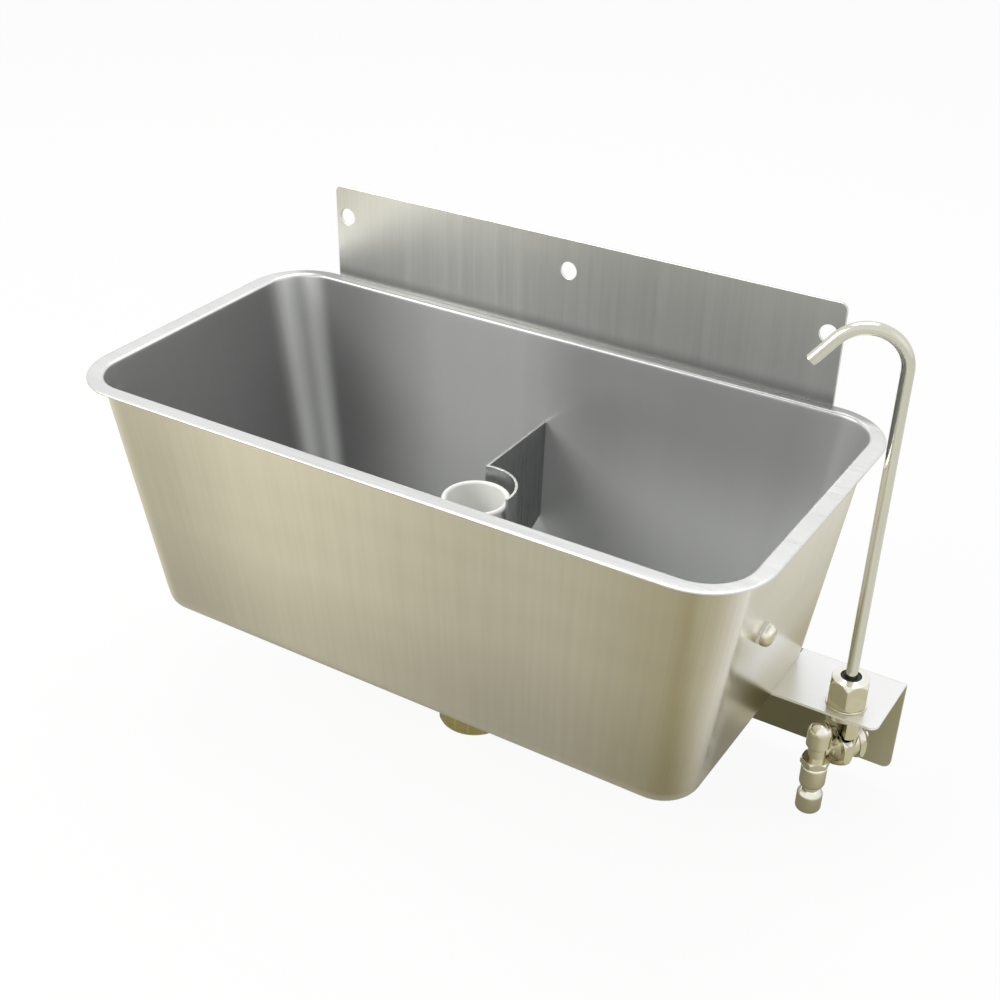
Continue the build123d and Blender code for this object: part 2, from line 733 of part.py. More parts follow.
# Hose nut: the lower barrel, with a seal above the supply tube's bore
hose_foot = check_foot - hose_nut_height
hose_top = hose_foot + hose_bore_depth
seal_foot = hose_top + inlet_spigot_length
hose_profile = [
    (passage_radius, check_foot),
    (barrel_waist_radius, check_foot),
    (barrel_radius, check_foot - barrel_taper),
    (barrel_radius, hose_foot + hose_nut_edge_radius),
    (barrel_radius - hose_nut_edge_radius, hose_foot),
    (hose_bore, hose_foot),
    (hose_bore, hose_top),
    (passage_radius, hose_top),
    (passage_radius, seal_foot),
    (hose_bore, seal_foot),
    (hose_bore, seal_foot + inlet_seal_thickness),
    (passage_radius, seal_foot + inlet_seal_thickness),
]
hose_nut = turned(elbow_axis, hose_profile)
inlet_seal = ring(elbow_axis.offset(seal_foot), hose_bore, passage_radius, inlet_seal_thickness)

# Bonnet: a hexagon and cone behind the valve, bored for the regulating spindle
backward = Plane(origin=branch.offset(bonnet_back).origin, x_dir=(0, 0, 1), z_dir=-forward)
bonnet_hex = hex_nut(backward, bonnet_across_flats, bonnet_hex_length, spindle_radius + running_gap)
with BuildPart() as bonnet:
    add(bonnet_hex.part)
    with BuildSketch(backward.offset(bonnet_hex_length)):
        Circle(bonnet_cone_radius)
    with BuildSketch(backward.offset(bonnet_length)):
        Circle(bonnet_tip_radius)
    loft()
    with BuildSketch(backward):
        Circle(spindle_radius + running_gap)
    extrude(amount=bonnet_length, mode=Mode.SUBTRACT)

# Spindle: slotted at its outer end, with a needle into the valve's passage
spindle_tip = bonnet_length + spindle_head_length
slot_plane = backward.offset(spindle_tip)
with BuildPart() as spindle:
    with BuildSketch(backward.offset(running_gap)):
        Circle(spindle_radius)
    extrude(amount=spindle_tip - running_gap)
    with BuildSketch(slot_plane):
        Rectangle(2 * spindle_radius + overrun, spindle_slot_width)
    extrude(amount=-spindle_slot_depth, mode=Mode.SUBTRACT)
    with BuildSketch(backward.offset(running_gap)):
        Circle(passage_radius - running_gap)
    extrude(amount=-spindle_needle)

pieces = {
    "tub": tub,
    "back_plate": back_plate,
    "bracket": bracket,
    "waste": waste,
    "waste_seal": waste_seal,
    "lower_seal": lower_seal,
    "slip_ring": slip_ring,
    "backnut": backnut,
    "tail_seal": tail_seal,
    "tail_nut": tail_nut,
    "standpipe": standpipe,
    "standpipe_ring": standpipe_ring,
    "baffle": baffle,
    "end_plug": end_plug,
    "plug_seal": plug_seal,
    "plug_washer": plug_washer,
    "plug_nut": plug_nut,
    "valve_body": valve_body,
    "under_washer": under_washer,
    "gland_washer": gland_washer,
    "gland_nut": gland_nut,
    "gland_packing": gland_packing,
    "spout": spout,
    "spout_ferrule": spout_ferrule,
    "union_nut": union_nut,
    "branch_seal": branch_seal,
    "elbow": elbow,
    "elbow_nut": elbow_nut,
    "check_body": check_body,
    "hose_nut": hose_nut,
    "inlet_seal": inlet_seal,
    "bonnet": bonnet,
    "spindle": spindle,
}

os.makedirs("parts", exist_ok=True)
for name, piece in pieces.items():
    piece.part.label = name
    export_step(piece.part, f"parts/{name}.step")
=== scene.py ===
import json
import math

import bmesh
import bpy
from mathutils import Matrix, Vector


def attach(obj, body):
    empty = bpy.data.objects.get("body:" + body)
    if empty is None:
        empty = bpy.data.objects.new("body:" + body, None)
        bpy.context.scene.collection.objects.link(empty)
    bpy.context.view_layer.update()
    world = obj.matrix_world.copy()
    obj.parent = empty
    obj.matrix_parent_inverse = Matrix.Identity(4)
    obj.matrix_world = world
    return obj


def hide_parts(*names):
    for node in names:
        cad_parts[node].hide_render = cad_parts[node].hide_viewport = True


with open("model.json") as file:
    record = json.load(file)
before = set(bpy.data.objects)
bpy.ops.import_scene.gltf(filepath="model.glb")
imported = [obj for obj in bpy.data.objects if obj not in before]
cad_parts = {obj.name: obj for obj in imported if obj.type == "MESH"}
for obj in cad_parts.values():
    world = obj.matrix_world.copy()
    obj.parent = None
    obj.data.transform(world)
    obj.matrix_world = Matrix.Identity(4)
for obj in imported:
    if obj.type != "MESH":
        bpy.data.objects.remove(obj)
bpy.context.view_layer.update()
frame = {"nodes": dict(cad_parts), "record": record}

# Room: a white floor under the well, a white surround and three large soft lamps.
# The floor is pale khaki board, whiter at the right, which the bright steel picks up
# from below. To the camera it shows white, with the well's soft shadow on it.
def in_scene(name, data):
    """A new object in the scene, at the origin."""
    thing = bpy.data.objects.new(name, data)
    bpy.context.scene.collection.objects.link(thing)
    return thing


def worked_out(tree, operation, first, second):
    """What a Math node gives for two linked values."""
    node = tree.nodes.new("ShaderNodeMath")
    node.operation = operation
    tree.links.new(first, node.inputs[0])
    tree.links.new(second, node.inputs[1])
    return node.outputs[0]


def spread_over(tree, value, span, out=(0, 1)):
    """A Map Range node that takes a linked value from one span to another."""
    node = tree.nodes.new("ShaderNodeMapRange")
    for end, place in zip(("From Min", "From Max", "To Min", "To Max"), (*span, *out)):
        node.inputs[end].default_value = place
    tree.links.new(value, node.inputs["Value"])
    return node


cam_data = bpy.data.cameras.new("camera")
cam_data.lens = 53.72
cam_data.sensor_width = 36
cam_data.shift_x = 0.0252
cam_data.shift_y = 0.1
cam_data.clip_start = 0.01
camera = in_scene("camera", cam_data)
camera_place = (0.38033, -0.69199, 0.31675)
yaw, pitch, roll = math.radians(32.54), math.radians(34.40), math.radians(0.39)
back = Vector((math.sin(yaw) * math.cos(pitch), -math.cos(yaw) * math.cos(pitch), math.sin(pitch)))
right = Vector((math.cos(yaw), math.sin(yaw), 0))
up = back.cross(right)
tilted_right = right * math.cos(roll) + up * math.sin(roll)
tilted_up = up * math.cos(roll) - right * math.sin(roll)
camera.matrix_world = Matrix.Translation(camera_place) @ Matrix(
    (tilted_right, tilted_up, back)
).transposed().to_4x4()
bpy.context.scene.camera = camera
bpy.context.scene.view_settings.view_transform = "Standard"


def softbox(name, place, aim, size, power, colour):
    """A square studio lamp at a place, turned to an aim point."""
    data = bpy.data.lights.new(name, "AREA")
    data.shape = "SQUARE"
    data.size = size
    data.energy = power
    data.color = colour
    lamp = in_scene(name, data)
    lamp.location = place
    lamp.rotation_euler = (Vector(aim) - Vector(place)).to_track_quat("-Z", "Y").to_euler()


softbox("overhead", (-0.15, 0.3, 1.35), (0, -0.1, -0.1), 1.0, 9, (1, 1, 1))
softbox("left_front", (-1.1, -1.3, 1.0), (0, -0.1, -0.1), 1.0, 18.5, (1, 0.99, 0.96))
softbox("right_side", (1.5, -0.2, 0.7), (0.1, -0.1, -0.1), 0.9, 0.5, (1, 1, 1))

world = bpy.data.worlds.new("studio")
bpy.context.scene.world = world
world.use_nodes = True
sky = world.node_tree
sky.nodes.clear()
sky_out = sky.nodes.new("ShaderNodeOutputWorld")
white_surround = sky.nodes.new("ShaderNodeBackground")
white_surround.inputs["Color"].default_value = (1, 1, 1, 1)
soft_fill = sky.nodes.new("ShaderNodeBackground")
soft_fill.inputs["Color"].default_value = (1, 0.99, 0.97, 1)
soft_fill.inputs["Strength"].default_value = 0.55
rays = sky.nodes.new("ShaderNodeLightPath").outputs
mirrored = worked_out(sky, "MAXIMUM", rays["Is Glossy Ray"], rays["Is Transmission Ray"])
seen = worked_out(sky, "MAXIMUM", rays["Is Camera Ray"], mirrored)
sky_mix = sky.nodes.new("ShaderNodeMixShader")
sky.links.new(seen, sky_mix.inputs[0])
sky.links.new(soft_fill.outputs[0], sky_mix.inputs[1])
sky.links.new(white_surround.outputs[0], sky_mix.inputs[2])
sky.links.new(sky_mix.outputs[0], sky_out.inputs[0])

floor_reach, floor_level = 6, -0.2523
floor_mesh = bpy.data.meshes.new("floor")
floor_corners = [
    (x * floor_reach, y * floor_reach, floor_level) for x, y in ((-1, -1), (1, -1), (1, 1), (-1, 1))
]
floor_mesh.from_pydata(floor_corners, [], [(0, 1, 2, 3)])
floor = in_scene("floor", floor_mesh)
floor_board = bpy.data.materials.new("floor_board")
floor_board.use_nodes = True
board = floor_board.node_tree
board.nodes.clear()
board_out = board.nodes.new("ShaderNodeOutputMaterial")
rays = board.nodes.new("ShaderNodeLightPath").outputs
khaki = board.nodes.new("ShaderNodeBsdfDiffuse")
khaki.inputs["Color"].default_value = (0.56, 0.53, 0.38, 1)
white_paint = board.nodes.new("ShaderNodeBsdfDiffuse")
white_paint.inputs["Color"].default_value = (0.9, 0.9, 0.9, 1)
white_glow = board.nodes.new("ShaderNodeEmission")
board_place = board.nodes.new("ShaderNodeTexCoord")
board_split = board.nodes.new("ShaderNodeSeparateXYZ")
board.links.new(board_place.outputs["Object"], board_split.inputs[0])
khaki_end, white_end = (0.19, 0.2), (0.29, 0.75)
board_fade = spread_over(board, board_split.outputs["X"], *zip(khaki_end, white_end))
board_fade.interpolation_type = "SMOOTHSTEP"
seen_board = board.nodes.new("ShaderNodeMixShader")
seen_board.inputs[0].default_value = 0.93
reflected_board = board.nodes.new("ShaderNodeMixShader")
board_mix = board.nodes.new("ShaderNodeMixShader")
board_mirrored = worked_out(board, "MAXIMUM", rays["Is Glossy Ray"], rays["Is Transmission Ray"])
board_share = worked_out(board, "MULTIPLY", board_mirrored, board_fade.outputs["Result"])
board.links.new(board_share, reflected_board.inputs[0])
board.links.new(khaki.outputs[0], reflected_board.inputs[1])
board.links.new(white_glow.outputs[0], reflected_board.inputs[2])
board.links.new(white_paint.outputs[0], seen_board.inputs[1])
board.links.new(white_glow.outputs[0], seen_board.inputs[2])
board.links.new(rays["Is Camera Ray"], board_mix.inputs[0])
board.links.new(reflected_board.outputs[0], board_mix.inputs[1])
board.links.new(seen_board.outputs[0], board_mix.inputs[2])
board.links.new(board_mix.outputs[0], board_out.inputs[0])
floor_mesh.materials.append(floor_board)

# Tub: one sheet of 1.2 mm stainless steel, deep drawn with leaning walls and a
# flat rim, and pressed down round the drain. The outside keeps its brushed grain,
# and reflections and shade are painted into its colour in upright bands round the walls and corners.
MM = 0.001
tub = dict(length=400, width=200, depth=147, sheet=1.2, rim_z=-39, rim_corner=36)
tub.update(end_top=191.2, front_top=-191.2, rear_top=-5.5, corner_top=25.2)
tub.update(end_lean=19.5, front_lean=14.3, rear_lean=6.3, corner_foot=20.7)
tub.update(rim_bend=2.5, floor_bend=5.8, drain_y=-95.5, recess=34, throat=18.05)
CORNER_STEPS, LONG_STEPS, SHORT_STEPS = 14, 40, 18
CORNER_SPAN = 0.3


def add_sockets(group, inputs, outputs):
    """Give a node group its named inputs and outputs, each with its kind."""
    for way, sockets in (("INPUT", inputs), ("OUTPUT", outputs)):
        for name, kind in sockets:
            group.interface.new_socket(name, in_out=way, socket_type=f"NodeSocket{kind}")


def grain_group():
    """The grain of worked metal: fine drawn-out lines, soft stains and sparse rubbed marks."""
    group = bpy.data.node_groups.get("worked_grain")
    if group:
        return group
    group = bpy.data.node_groups.new("worked_grain", "ShaderNodeTree")
    places = [(name, "Vector") for name in ("Vector", "Draw Out")]
    amounts = [(name, "Float") for name in ("Fineness", "Stain Size", "Line Share")]
    add_sockets(group, places + amounts, [(name, "Float") for name in ("Tone", "Line", "Rub")])

    def noise(vector, scale, detail):
        node = group.nodes.new("ShaderNodeTexNoise")
        node.inputs["Detail"].default_value = detail
        group.links.new(vector, node.inputs["Vector"])
        group.links.new(scale, node.inputs["Scale"])
        return node.outputs["Fac"]

    source = group.nodes.new("NodeGroupInput")
    sink = group.nodes.new("NodeGroupOutput")
    drawn = group.nodes.new("ShaderNodeVectorMath")
    drawn.operation = "MULTIPLY"
    group.links.new(source.outputs["Vector"], drawn.inputs[0])
    group.links.new(source.outputs["Draw Out"], drawn.inputs[1])
    line = noise(drawn.outputs[0], source.outputs["Fineness"], 3)
    stain = noise(source.outputs["Vector"], source.outputs["Stain Size"], 2)
    rub = noise(drawn.outputs[0], source.outputs["Stain Size"], 3)
    blend = group.nodes.new("ShaderNodeMix")
    blend.data_type = "FLOAT"
    group.links.new(source.outputs["Line Share"], blend.inputs["Factor"])
    group.links.new(stain, blend.inputs["A"])
    group.links.new(line, blend.inputs["B"])
    group.links.new(blend.outputs["Result"], sink.inputs["Tone"])
    group.links.new(line, sink.inputs["Line"])
    group.links.new(rub, sink.inputs["Rub"])
    return group


def grained_finish(
    name, light, dark, rough, draw_out, fineness, stain=12, line_share=0.5, bump=0.04, metallic=1.0, wear=0.2
):
    """A worked metal: two tones mixed by its grain, with relief and worn gloss from the same lines."""
    look = bpy.data.materials.new(name)
    look.use_nodes = True
    tree = look.node_tree
    shader = tree.nodes["Principled BSDF"]
    shader.inputs["Metallic"].default_value = metallic
    grain = tree.nodes.new("ShaderNodeGroup")
    grain.name = "grain"
    grain.node_tree = grain_group()
    place = tree.nodes.new("ShaderNodeTexCoord")
    tree.links.new(place.outputs["Object"], grain.inputs["Vector"])
    grain.inputs["Draw Out"].default_value = draw_out
    grain.inputs["Fineness"].default_value = fineness
    grain.inputs["Stain Size"].default_value = stain
    grain.inputs["Line Share"].default_value = line_share
    tint = tree.nodes.new("ShaderNodeMix")
    tint.data_type = "RGBA"
    tint.inputs["A"].default_value = (*dark, 1)
    tint.inputs["B"].default_value = (*light, 1)
    noise_span = (0.3, 0.7)
    tone = spread_over(tree, grain.outputs["Tone"], noise_span)
    tree.links.new(tone.outputs["Result"], tint.inputs["Factor"])
    tree.links.new(tint.outputs["Result"], shader.inputs["Base Color"])
    gloss = spread_over(tree, grain.outputs["Rub"], noise_span, (rough * (1 - wear), rough * (1 + wear)))
    tree.links.new(gloss.outputs["Result"], shader.inputs["Roughness"])
    relief = tree.nodes.new("ShaderNodeBump")
    relief.inputs["Strength"].default_value = bump
    relief.inputs["Distance"].default_value = 0.0002
    tree.links.new(grain.outputs["Line"], relief.inputs["Height"])
    tree.links.new(relief.outputs["Normal"], shader.inputs["Normal"])
    return look


def place_between(look, axis, low, high, wall=None):
    """How far a point lies between two places, from 0 to 1, along an axis or over a wall map."""
    tree = look.node_tree
    source = tree.nodes.new("ShaderNodeUVMap" if wall else "ShaderNodeTexCoord")
    if wall:
        source.uv_map = wall
    split = tree.nodes.new("ShaderNodeSeparateXYZ")
    tree.links.new(source.outputs["UV" if wall else "Object"], split.inputs[0])
    return spread_over(tree, split.outputs[axis], (low, high)).outputs["Result"]


def painted_in_bands(look, place, bands, strength=None):
    """Paint light and shade on a look in bands: its colour is multiplied by tones that lie at places from 0
    to 1.
    """
    tree = look.node_tree
    colour = tree.nodes["Principled BSDF"].inputs["Base Color"]
    ramp = tree.nodes.new("ShaderNodeValToRGB")
    ramp.color_ramp.interpolation = "EASE"
    stops = ramp.color_ramp.elements
    while len(stops) < len(bands):
        stops.new(0.5)
    for stop, (at, tone) in zip(stops, bands):
        stop.position = at
        stop.color = (*tone, 1) if isinstance(tone, tuple) else (tone, tone, tone, 1)
    tree.links.new(place, ramp.inputs[0])
    banded = tree.nodes.new("ShaderNodeMix")
    banded.data_type = "RGBA"
    banded.blend_type = "MULTIPLY"
    banded.inputs["Factor"].default_value = 1
    tree.links.new(colour.links[0].from_socket, banded.inputs["A"])
    tree.links.new(ramp.outputs["Color"], banded.inputs["B"])
    if strength:
        tree.links.new(strength, banded.inputs["Factor"])
    tree.links.new(banded.outputs["Result"], colour)
    return look


def facing_up(look):
    """How far a surface faces up, from 0 under the piece to 1 on its top."""
    tree = look.node_tree
    source = tree.nodes.new("ShaderNodeNewGeometry")
    split = tree.nodes.new("ShaderNodeSeparateXYZ")
    tree.links.new(source.outputs["Normal"], split.inputs[0])
    return spread_over(tree, split.outputs["Z"], (-1, 1)).outputs["Result"]


def both(look, first, second):
    """Where two places overlap."""
    return worked_out(look.node_tree, "MULTIPLY", first, second)


def drawn_steel(name, light, dark, rough, draw_out, line_share, metallic):
    """Deep drawn sheet, whose grain follows the wall down."""
    look = grained_finish(name, light, dark, rough, draw_out, 1, 3, line_share, 0.015, metallic, 0.1)
    wall = look.node_tree.nodes.new("ShaderNodeUVMap")
    wall.uv_map = "round_and_down"
    look.node_tree.links.new(wall.outputs["UV"], look.node_tree.nodes["grain"].inputs["Vector"])
    return look


def round_wall(look, low, high):
    """How far round the tub between two turns: whole turns are corners, from the right rear one."""
    return place_between(look, 0, low / 4, high / 4, "round_and_down")


def down_wall(look, low, high):
    """How far down the tub's wall between two shares of its depth."""
    return place_between(look, 1, low, high, "round_and_down")


def mesh_object(name, points, faces):
    """A smooth mesh in the part's frame, from points in millimetres."""
    mesh = bpy.data.meshes.new(name)
    mesh.from_pydata([tuple(c * MM for c in p) for p in points], [], faces)
    mesh.polygons.foreach_set("use_smooth", [True] * len(mesh.polygons))
    return in_scene(name, mesh)


def spaced(steps, spread):
    """Shares along a straight side, closer together at its middle."""
    top = math.tan(spread)
    return [0.5 + 0.5 * math.tan(spread * (2 * k / steps - 1)) / top for k in range(1, steps)]


def side_shares(index):
    """Where the points of one side lie, by its number from the right rear corner."""
    steps, spread = (LONG_STEPS, 1.08) if index % 2 == 0 else (SHORT_STEPS, 0.46)
    return spaced(steps, spread)


def tub_ring(end, front, rear, corner):
    """One closed ring of points. end, front and rear are (place, height) of those sides."""
    arcs = []
    corners = [
        (end[0], rear[0], 0, end[1], rear[1]),
        (-end[0], rear[0], 90, rear[1], end[1]),
        (-end[0], front[0], 180, end[1], front[1]),
        (end[0], front[0], 270, front[1], end[1]),
    ]
    for x, y, start, z_from, z_to in corners:
        centre = (x - math.copysign(corner, x), y + (corner if y == front[0] else -corner))
        arc = []
        for k in range(CORNER_STEPS + 1):
            share = k / CORNER_STEPS
            angle = math.radians(start + 90 * share)
            height = z_from + (z_to - z_from) * share
            arc.append((centre[0] + corner * math.cos(angle), centre[1] + corner * math.sin(angle), height))
        arcs.append(arc)
    points = []
    for index, arc in enumerate(arcs):
        points += arc
        for share in side_shares(index):
            points.append(tuple(a + (b - a) * share for a, b in zip(arc[-1], arcs[(index + 1) % 4][0])))
    return points


def wall_ring(inset, z):
    """A ring on the leaning walls, drawn in by inset from the outer skin."""
    share = (tub["rim_z"] - z) / tub["depth"]
    return tub_ring(
        (tub["end_top"] - inset - tub["end_lean"] * share, z),
        (tub["front_top"] + inset + tub["front_lean"] * share, z),
        (tub["rear_top"] - inset - tub["rear_lean"] * share, z),
        tub["corner_top"] - inset - (tub["corner_top"] - tub["corner_foot"]) * share,
    )


def bend_rings(inset, level, radius, steps, at_rim):
    """Rings round the bend between the walls and the rim or the floor."""
    share = (tub["rim_z"] - level) / tub["depth"]
    sides = []
    for lean in (tub["end_lean"], tub["front_lean"], tub["rear_lean"]):
        angle = math.atan2(lean, tub["depth"])
        sides.append((angle, radius / math.tan((math.pi / 2 + angle) / 2)))
    end = tub["end_top"] - inset - tub["end_lean"] * share
    front = tub["front_top"] + inset + tub["front_lean"] * share
    rear = tub["rear_top"] - inset - tub["rear_lean"] * share
    corner = tub["corner_top"] - inset - (tub["corner_top"] - tub["corner_foot"]) * share
    bent = []
    for k in range(steps + 1):
        moved = []
        for angle, tangent in sides:
            turn = (math.pi / 2 - angle) * k / steps
            if at_rim:
                moved.append((tangent - radius * math.sin(turn), level - radius + radius * math.cos(turn)))
            else:
                moved.append((-tangent + radius * math.sin(turn), level + radius - radius * math.cos(turn)))
        bent.append(
            tub_ring(
                (end + moved[0][0], moved[0][1]),
                (front - moved[1][0], moved[1][1]),
                (rear + moved[2][0], moved[2][1]),
                corner + moved[0][0],
            )
        )
    return bent


def rim_ring(shrink, z):
    """A ring round the rim's outer edge, drawn in by shrink."""
    return tub_ring(
        (tub["length"] / 2 - shrink, z),
        (-tub["width"] + shrink, z),
        (-shrink, z),
        tub["rim_corner"] - shrink,
    )


def drain_ring(radius, z):
    """A circle round the drain whose points lie in line with the floor's own points."""
    line = []
    for x, y, _ in wall_ring(tub["sheet"], tub["rim_z"] - tub["depth"] + tub["sheet"]):
        away = math.hypot(x, y - tub["drain_y"])
        line.append((x / away * radius, tub["drain_y"] + (y - tub["drain_y"]) / away * radius, z))
    return line


rim_z = tub["rim_z"]
floor_z = rim_z - tub["depth"]
floor_top = floor_z + tub["sheet"]
edge = 0.35
OUTSIDE, INSIDE, RIM = 0, 1, 2
rings, zones = [], []


def take(new_rings, zone):
    """Add rings to the shell, in order along the sheet's section."""
    for one in new_rings:
        rings.append(one)
        zones.append(zone)


take([rim_ring(edge, rim_z - tub["sheet"]), rim_ring(0, rim_z - tub["sheet"] + edge)], RIM)
take([rim_ring(0, rim_z - edge), rim_ring(edge, rim_z), rim_ring(1.6, rim_z)], RIM)
rim_turn = bend_rings(tub["sheet"], rim_z, tub["rim_bend"], 6, True)
take(rim_turn[:4], RIM)
take(rim_turn[4:], INSIDE)
take([wall_ring(tub["sheet"], rim_z - 6 + (floor_top - rim_z + 14) * k / 8) for k in range(9)], INSIDE)
take(reversed(bend_rings(tub["sheet"], floor_top, tub["floor_bend"], 7, False)), INSIDE)
take([drain_ring(tub["recess"] + 9, floor_top), drain_ring(tub["recess"] + 1.4, floor_top)], INSIDE)
take([drain_ring(tub["recess"] + 0.4, floor_top - 0.4), drain_ring(tub["recess"], floor_top - 1.4)], INSIDE)
take([drain_ring(tub["recess"], floor_top - 2.4), drain_ring(tub["recess"] - 0.8, floor_top - 3)], INSIDE)
take([drain_ring(tub["throat"], floor_top - 3), drain_ring(tub["throat"], floor_top - 4.2)], INSIDE)
take([drain_ring(tub["recess"] + 1.2, floor_z - 3), drain_ring(tub["recess"] + 1.2, floor_z - 0.8)], OUTSIDE)
take([drain_ring(tub["recess"] + 2, floor_z), drain_ring(tub["recess"] + 9, floor_z)], OUTSIDE)
take(bend_rings(0, floor_z, tub["floor_bend"] + tub["sheet"], 8, False), OUTSIDE)
take([wall_ring(0, floor_z + 12 + (tub["depth"] - 16) * k / 8) for k in range(9)], OUTSIDE)
take(reversed(bend_rings(0, rim_z - tub["sheet"], tub["rim_bend"] - tub["sheet"], 4, True)), OUTSIDE)
take([rim_ring(1.6, rim_z - tub["sheet"])], OUTSIDE)

count = len(rings[0])
faces, face_zone = [], []
for r in range(len(rings)):
    following = (r + 1) % len(rings)
    for k in range(count):
        ahead = (k + 1) % count
        faces.append((r * count + k, following * count + k, following * count + ahead, r * count + ahead))
        face_zone.append(zones[r])
tub_shell = mesh_object("tub_shell", [p for ring in rings for p in ring], faces)

turns = []
for index in range(4):
    turns += [index + CORNER_SPAN * k / CORNER_STEPS for k in range(CORNER_STEPS + 1)]
    turns += [index + CORNER_SPAN + (1 - CORNER_SPAN) * share for share in side_shares(index)]
turns.append(4)
wall_map = tub_shell.data.uv_layers.new(name="round_and_down")
for r in range(len(rings)):
    following = (r + 1) % len(rings)
    for k in range(count):
        for step, (ring, column) in enumerate(((r, k), (following, k), (following, k + 1), (r, k + 1))):
            height = rings[ring][column % count][2]
            down = min(1, max(0, (rim_z - height) / tub["depth"]))
            wall_map.uv[(r * count + k) * 4 + step].vector = (turns[column] / 4, down)

# Broad bands in rounded tones of painted reflection and shade, darker and brighter round the corners and
# walls.
corner_shade = (0.5, 0.47, 0.35)
outside_painted_light = [
    (0, 1), (0.3, 0.85), (2, 0.8), (2.1, 0.7), (2.18, 1), (2.3, 0.7), (2.5, 0.95), (2.85, 0.7),
    (3.1, corner_shade), (3.35, 1),
]
inside_painted_light = [
    (0.1, 0.65), (0.25, 0.85), (0.35, 0.65), (0.8, 0.7), (1, 0.35), (1.1, 0.95), (1.16, 0.65),
    (1.23, 1), (1.35, 0.3), (2.3, 0.4), (3.4, 0.65),
]
inside_steel = drawn_steel(
    "tub_inside", (0.955, 0.97, 0.965), (0.885, 0.9, 0.895), 0.34, (90, 0.7, 1), 0.5, 0.32
)
outside_steel = drawn_steel(
    "tub_outside", (0.97, 0.945, 0.875), (0.85, 0.825, 0.765), 0.22, (500, 1.5, 1), 0.4, 1
)
# Painted shade: the floor is darker than the walls, inside and underneath, by under.
for look, bands, under in ((outside_steel, outside_painted_light, 0.8), (inside_steel, inside_painted_light, 0.6)):
    tones = [(turn / 4, tone) for turn, tone in bands]
    painted_in_bands(look, round_wall(look, 0, 4), tones, down_wall(look, 0.99, 0.94))
    painted_in_bands(look, down_wall(look, 0.94, 0.99), [(0, 1), (1, under)])
# Painted shade: the outside walls grow darker towards their foot.
painted_in_bands(outside_steel, down_wall(outside_steel, 0, 1), [(0, 1), (1, 0.84)])
# Painted shadow of the bracket on the foot of the right end wall.
end_wall_painted_shadow = both(outside_steel, round_wall(outside_steel, 3.32, 3.4), down_wall(outside_steel, 0.55, 0.82))
painted_in_bands(outside_steel, end_wall_painted_shadow, [(0, 1), (1, (0.74, 0.7, 0.54))])
# Painted shade over the upper part of the inside's right rear corner and rear wall.
rear_wall_painted_shade = both(inside_steel, round_wall(inside_steel, 0.72, 0.6), down_wall(inside_steel, 0.7, 0.2))
painted_in_bands(inside_steel, rear_wall_painted_shade, [(0, 1), (1, 0.66)])
rim_steel = grained_finish("tub_rim", (0.76, 0.765, 0.755), (0.7, 0.705, 0.695), 0.32, (1, 24, 24), 60)
# Painted reflection: the rim's rear strip by the back plate is darker, and the rim is a little darker right
# of its middle.
painted_in_bands(rim_steel, place_between(rim_steel, 1, -0.03, 0), [(0, 1), (0.6, 0.95), (0.8, 0.53), (1, 0.5)])
painted_in_bands(rim_steel, place_between(rim_steel, 0, -0.2, 0.2), [(0.15, 1), (0.6, 0.9), (1, 1)])
for look in (outside_steel, inside_steel, rim_steel):
    tub_shell.data.materials.append(look)
tub_shell.data.polygons.foreach_set("material_index", face_zone)
mended = bmesh.new()
mended.from_mesh(tub_shell.data)
bmesh.ops.remove_doubles(mended, verts=mended.verts, dist=1e-6)
bmesh.ops.recalc_face_normals(mended, faces=mended.faces)
mended.to_mesh(tub_shell.data)
mended.free()
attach(tub_shell, "tub_body")
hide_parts("tub")

# Back plate: a strip of 1.5 mm brushed steel, sheared and drilled for three wall
# screws, and welded along its foot to the rear edge of the rim. Its edges are
# rubbed bright.
bodies = frame["record"]["behaviour"]["bodies"]


def seated(piece, node, look, rubbed=None, ease=0, corner=30):
    """Finish a piece, ease its corners, and show it in its CAD node's place on that node's body."""
    mesh = piece.data
    mesh.materials.clear()
    mesh.materials.append(look)
    mesh.materials.append(rubbed or look)
    mesh.polygons.foreach_set("material_index", [0] * len(mesh.polygons))
    mesh.shade_smooth()
    mesh.set_sharp_from_angle(angle=math.radians(corner))
    if ease:
        eased = piece.modifiers.new("eased_corners", "BEVEL")
        eased.width = ease * MM
        eased.segments = 2
        eased.limit_method = "ANGLE"
        eased.angle_limit = math.radians(corner)
        eased.harden_normals = True
        eased.material = 1
    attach(piece, next(body for body, members in bodies.items() if node in members))
    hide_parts(node)


def sheared(node, name):
    """A copy of a CAD node as one merged mesh, ready for its corners to be eased."""
    mesh = frame["nodes"][node].data.copy()
    mesh.name = name
    work = bmesh.new()
    work.from_mesh(mesh)
    bmesh.ops.remove_doubles(work, verts=work.verts, dist=2e-6)
    bmesh.ops.dissolve_limit(work, angle_limit=math.radians(0.4), verts=work.verts, edges=work.edges)
    work.to_mesh(mesh)
    work.free()
    for layer in ("custom_normal", "sharp_edge", "sharp_face"):
        if mesh.attributes.get(layer):
            mesh.attributes.remove(mesh.attributes[layer])
    return in_scene(name, mesh)


plate_steel = grained_finish(
    "plate_steel", (0.98, 0.985, 0.95), (0.91, 0.915, 0.885), 0.38, (60, 60, 1), 9, 6, 0.7, 0.02, 0.85, 0.06
)
# Painted reflections and shade: the plate is darker towards its ends and towards its foot.
plate_painted_light = [(0.05, 0.75), (0.3, 1), (0.65, 0.65)]
painted_in_bands(plate_steel, place_between(plate_steel, 0, -0.2, 0.2), plate_painted_light)
painted_in_bands(plate_steel, place_between(plate_steel, 2, -0.039, -0.029), [(0, 0.5), (1, 1)])
rubbed_steel = grained_finish("rubbed_steel", (0.9, 0.9, 0.88), (0.8, 0.8, 0.78), 0.25, (1, 1, 1), 60)
seated(sheared("back_plate", "wall_plate"), "back_plate", plate_steel, rubbed_steel, 0.3)

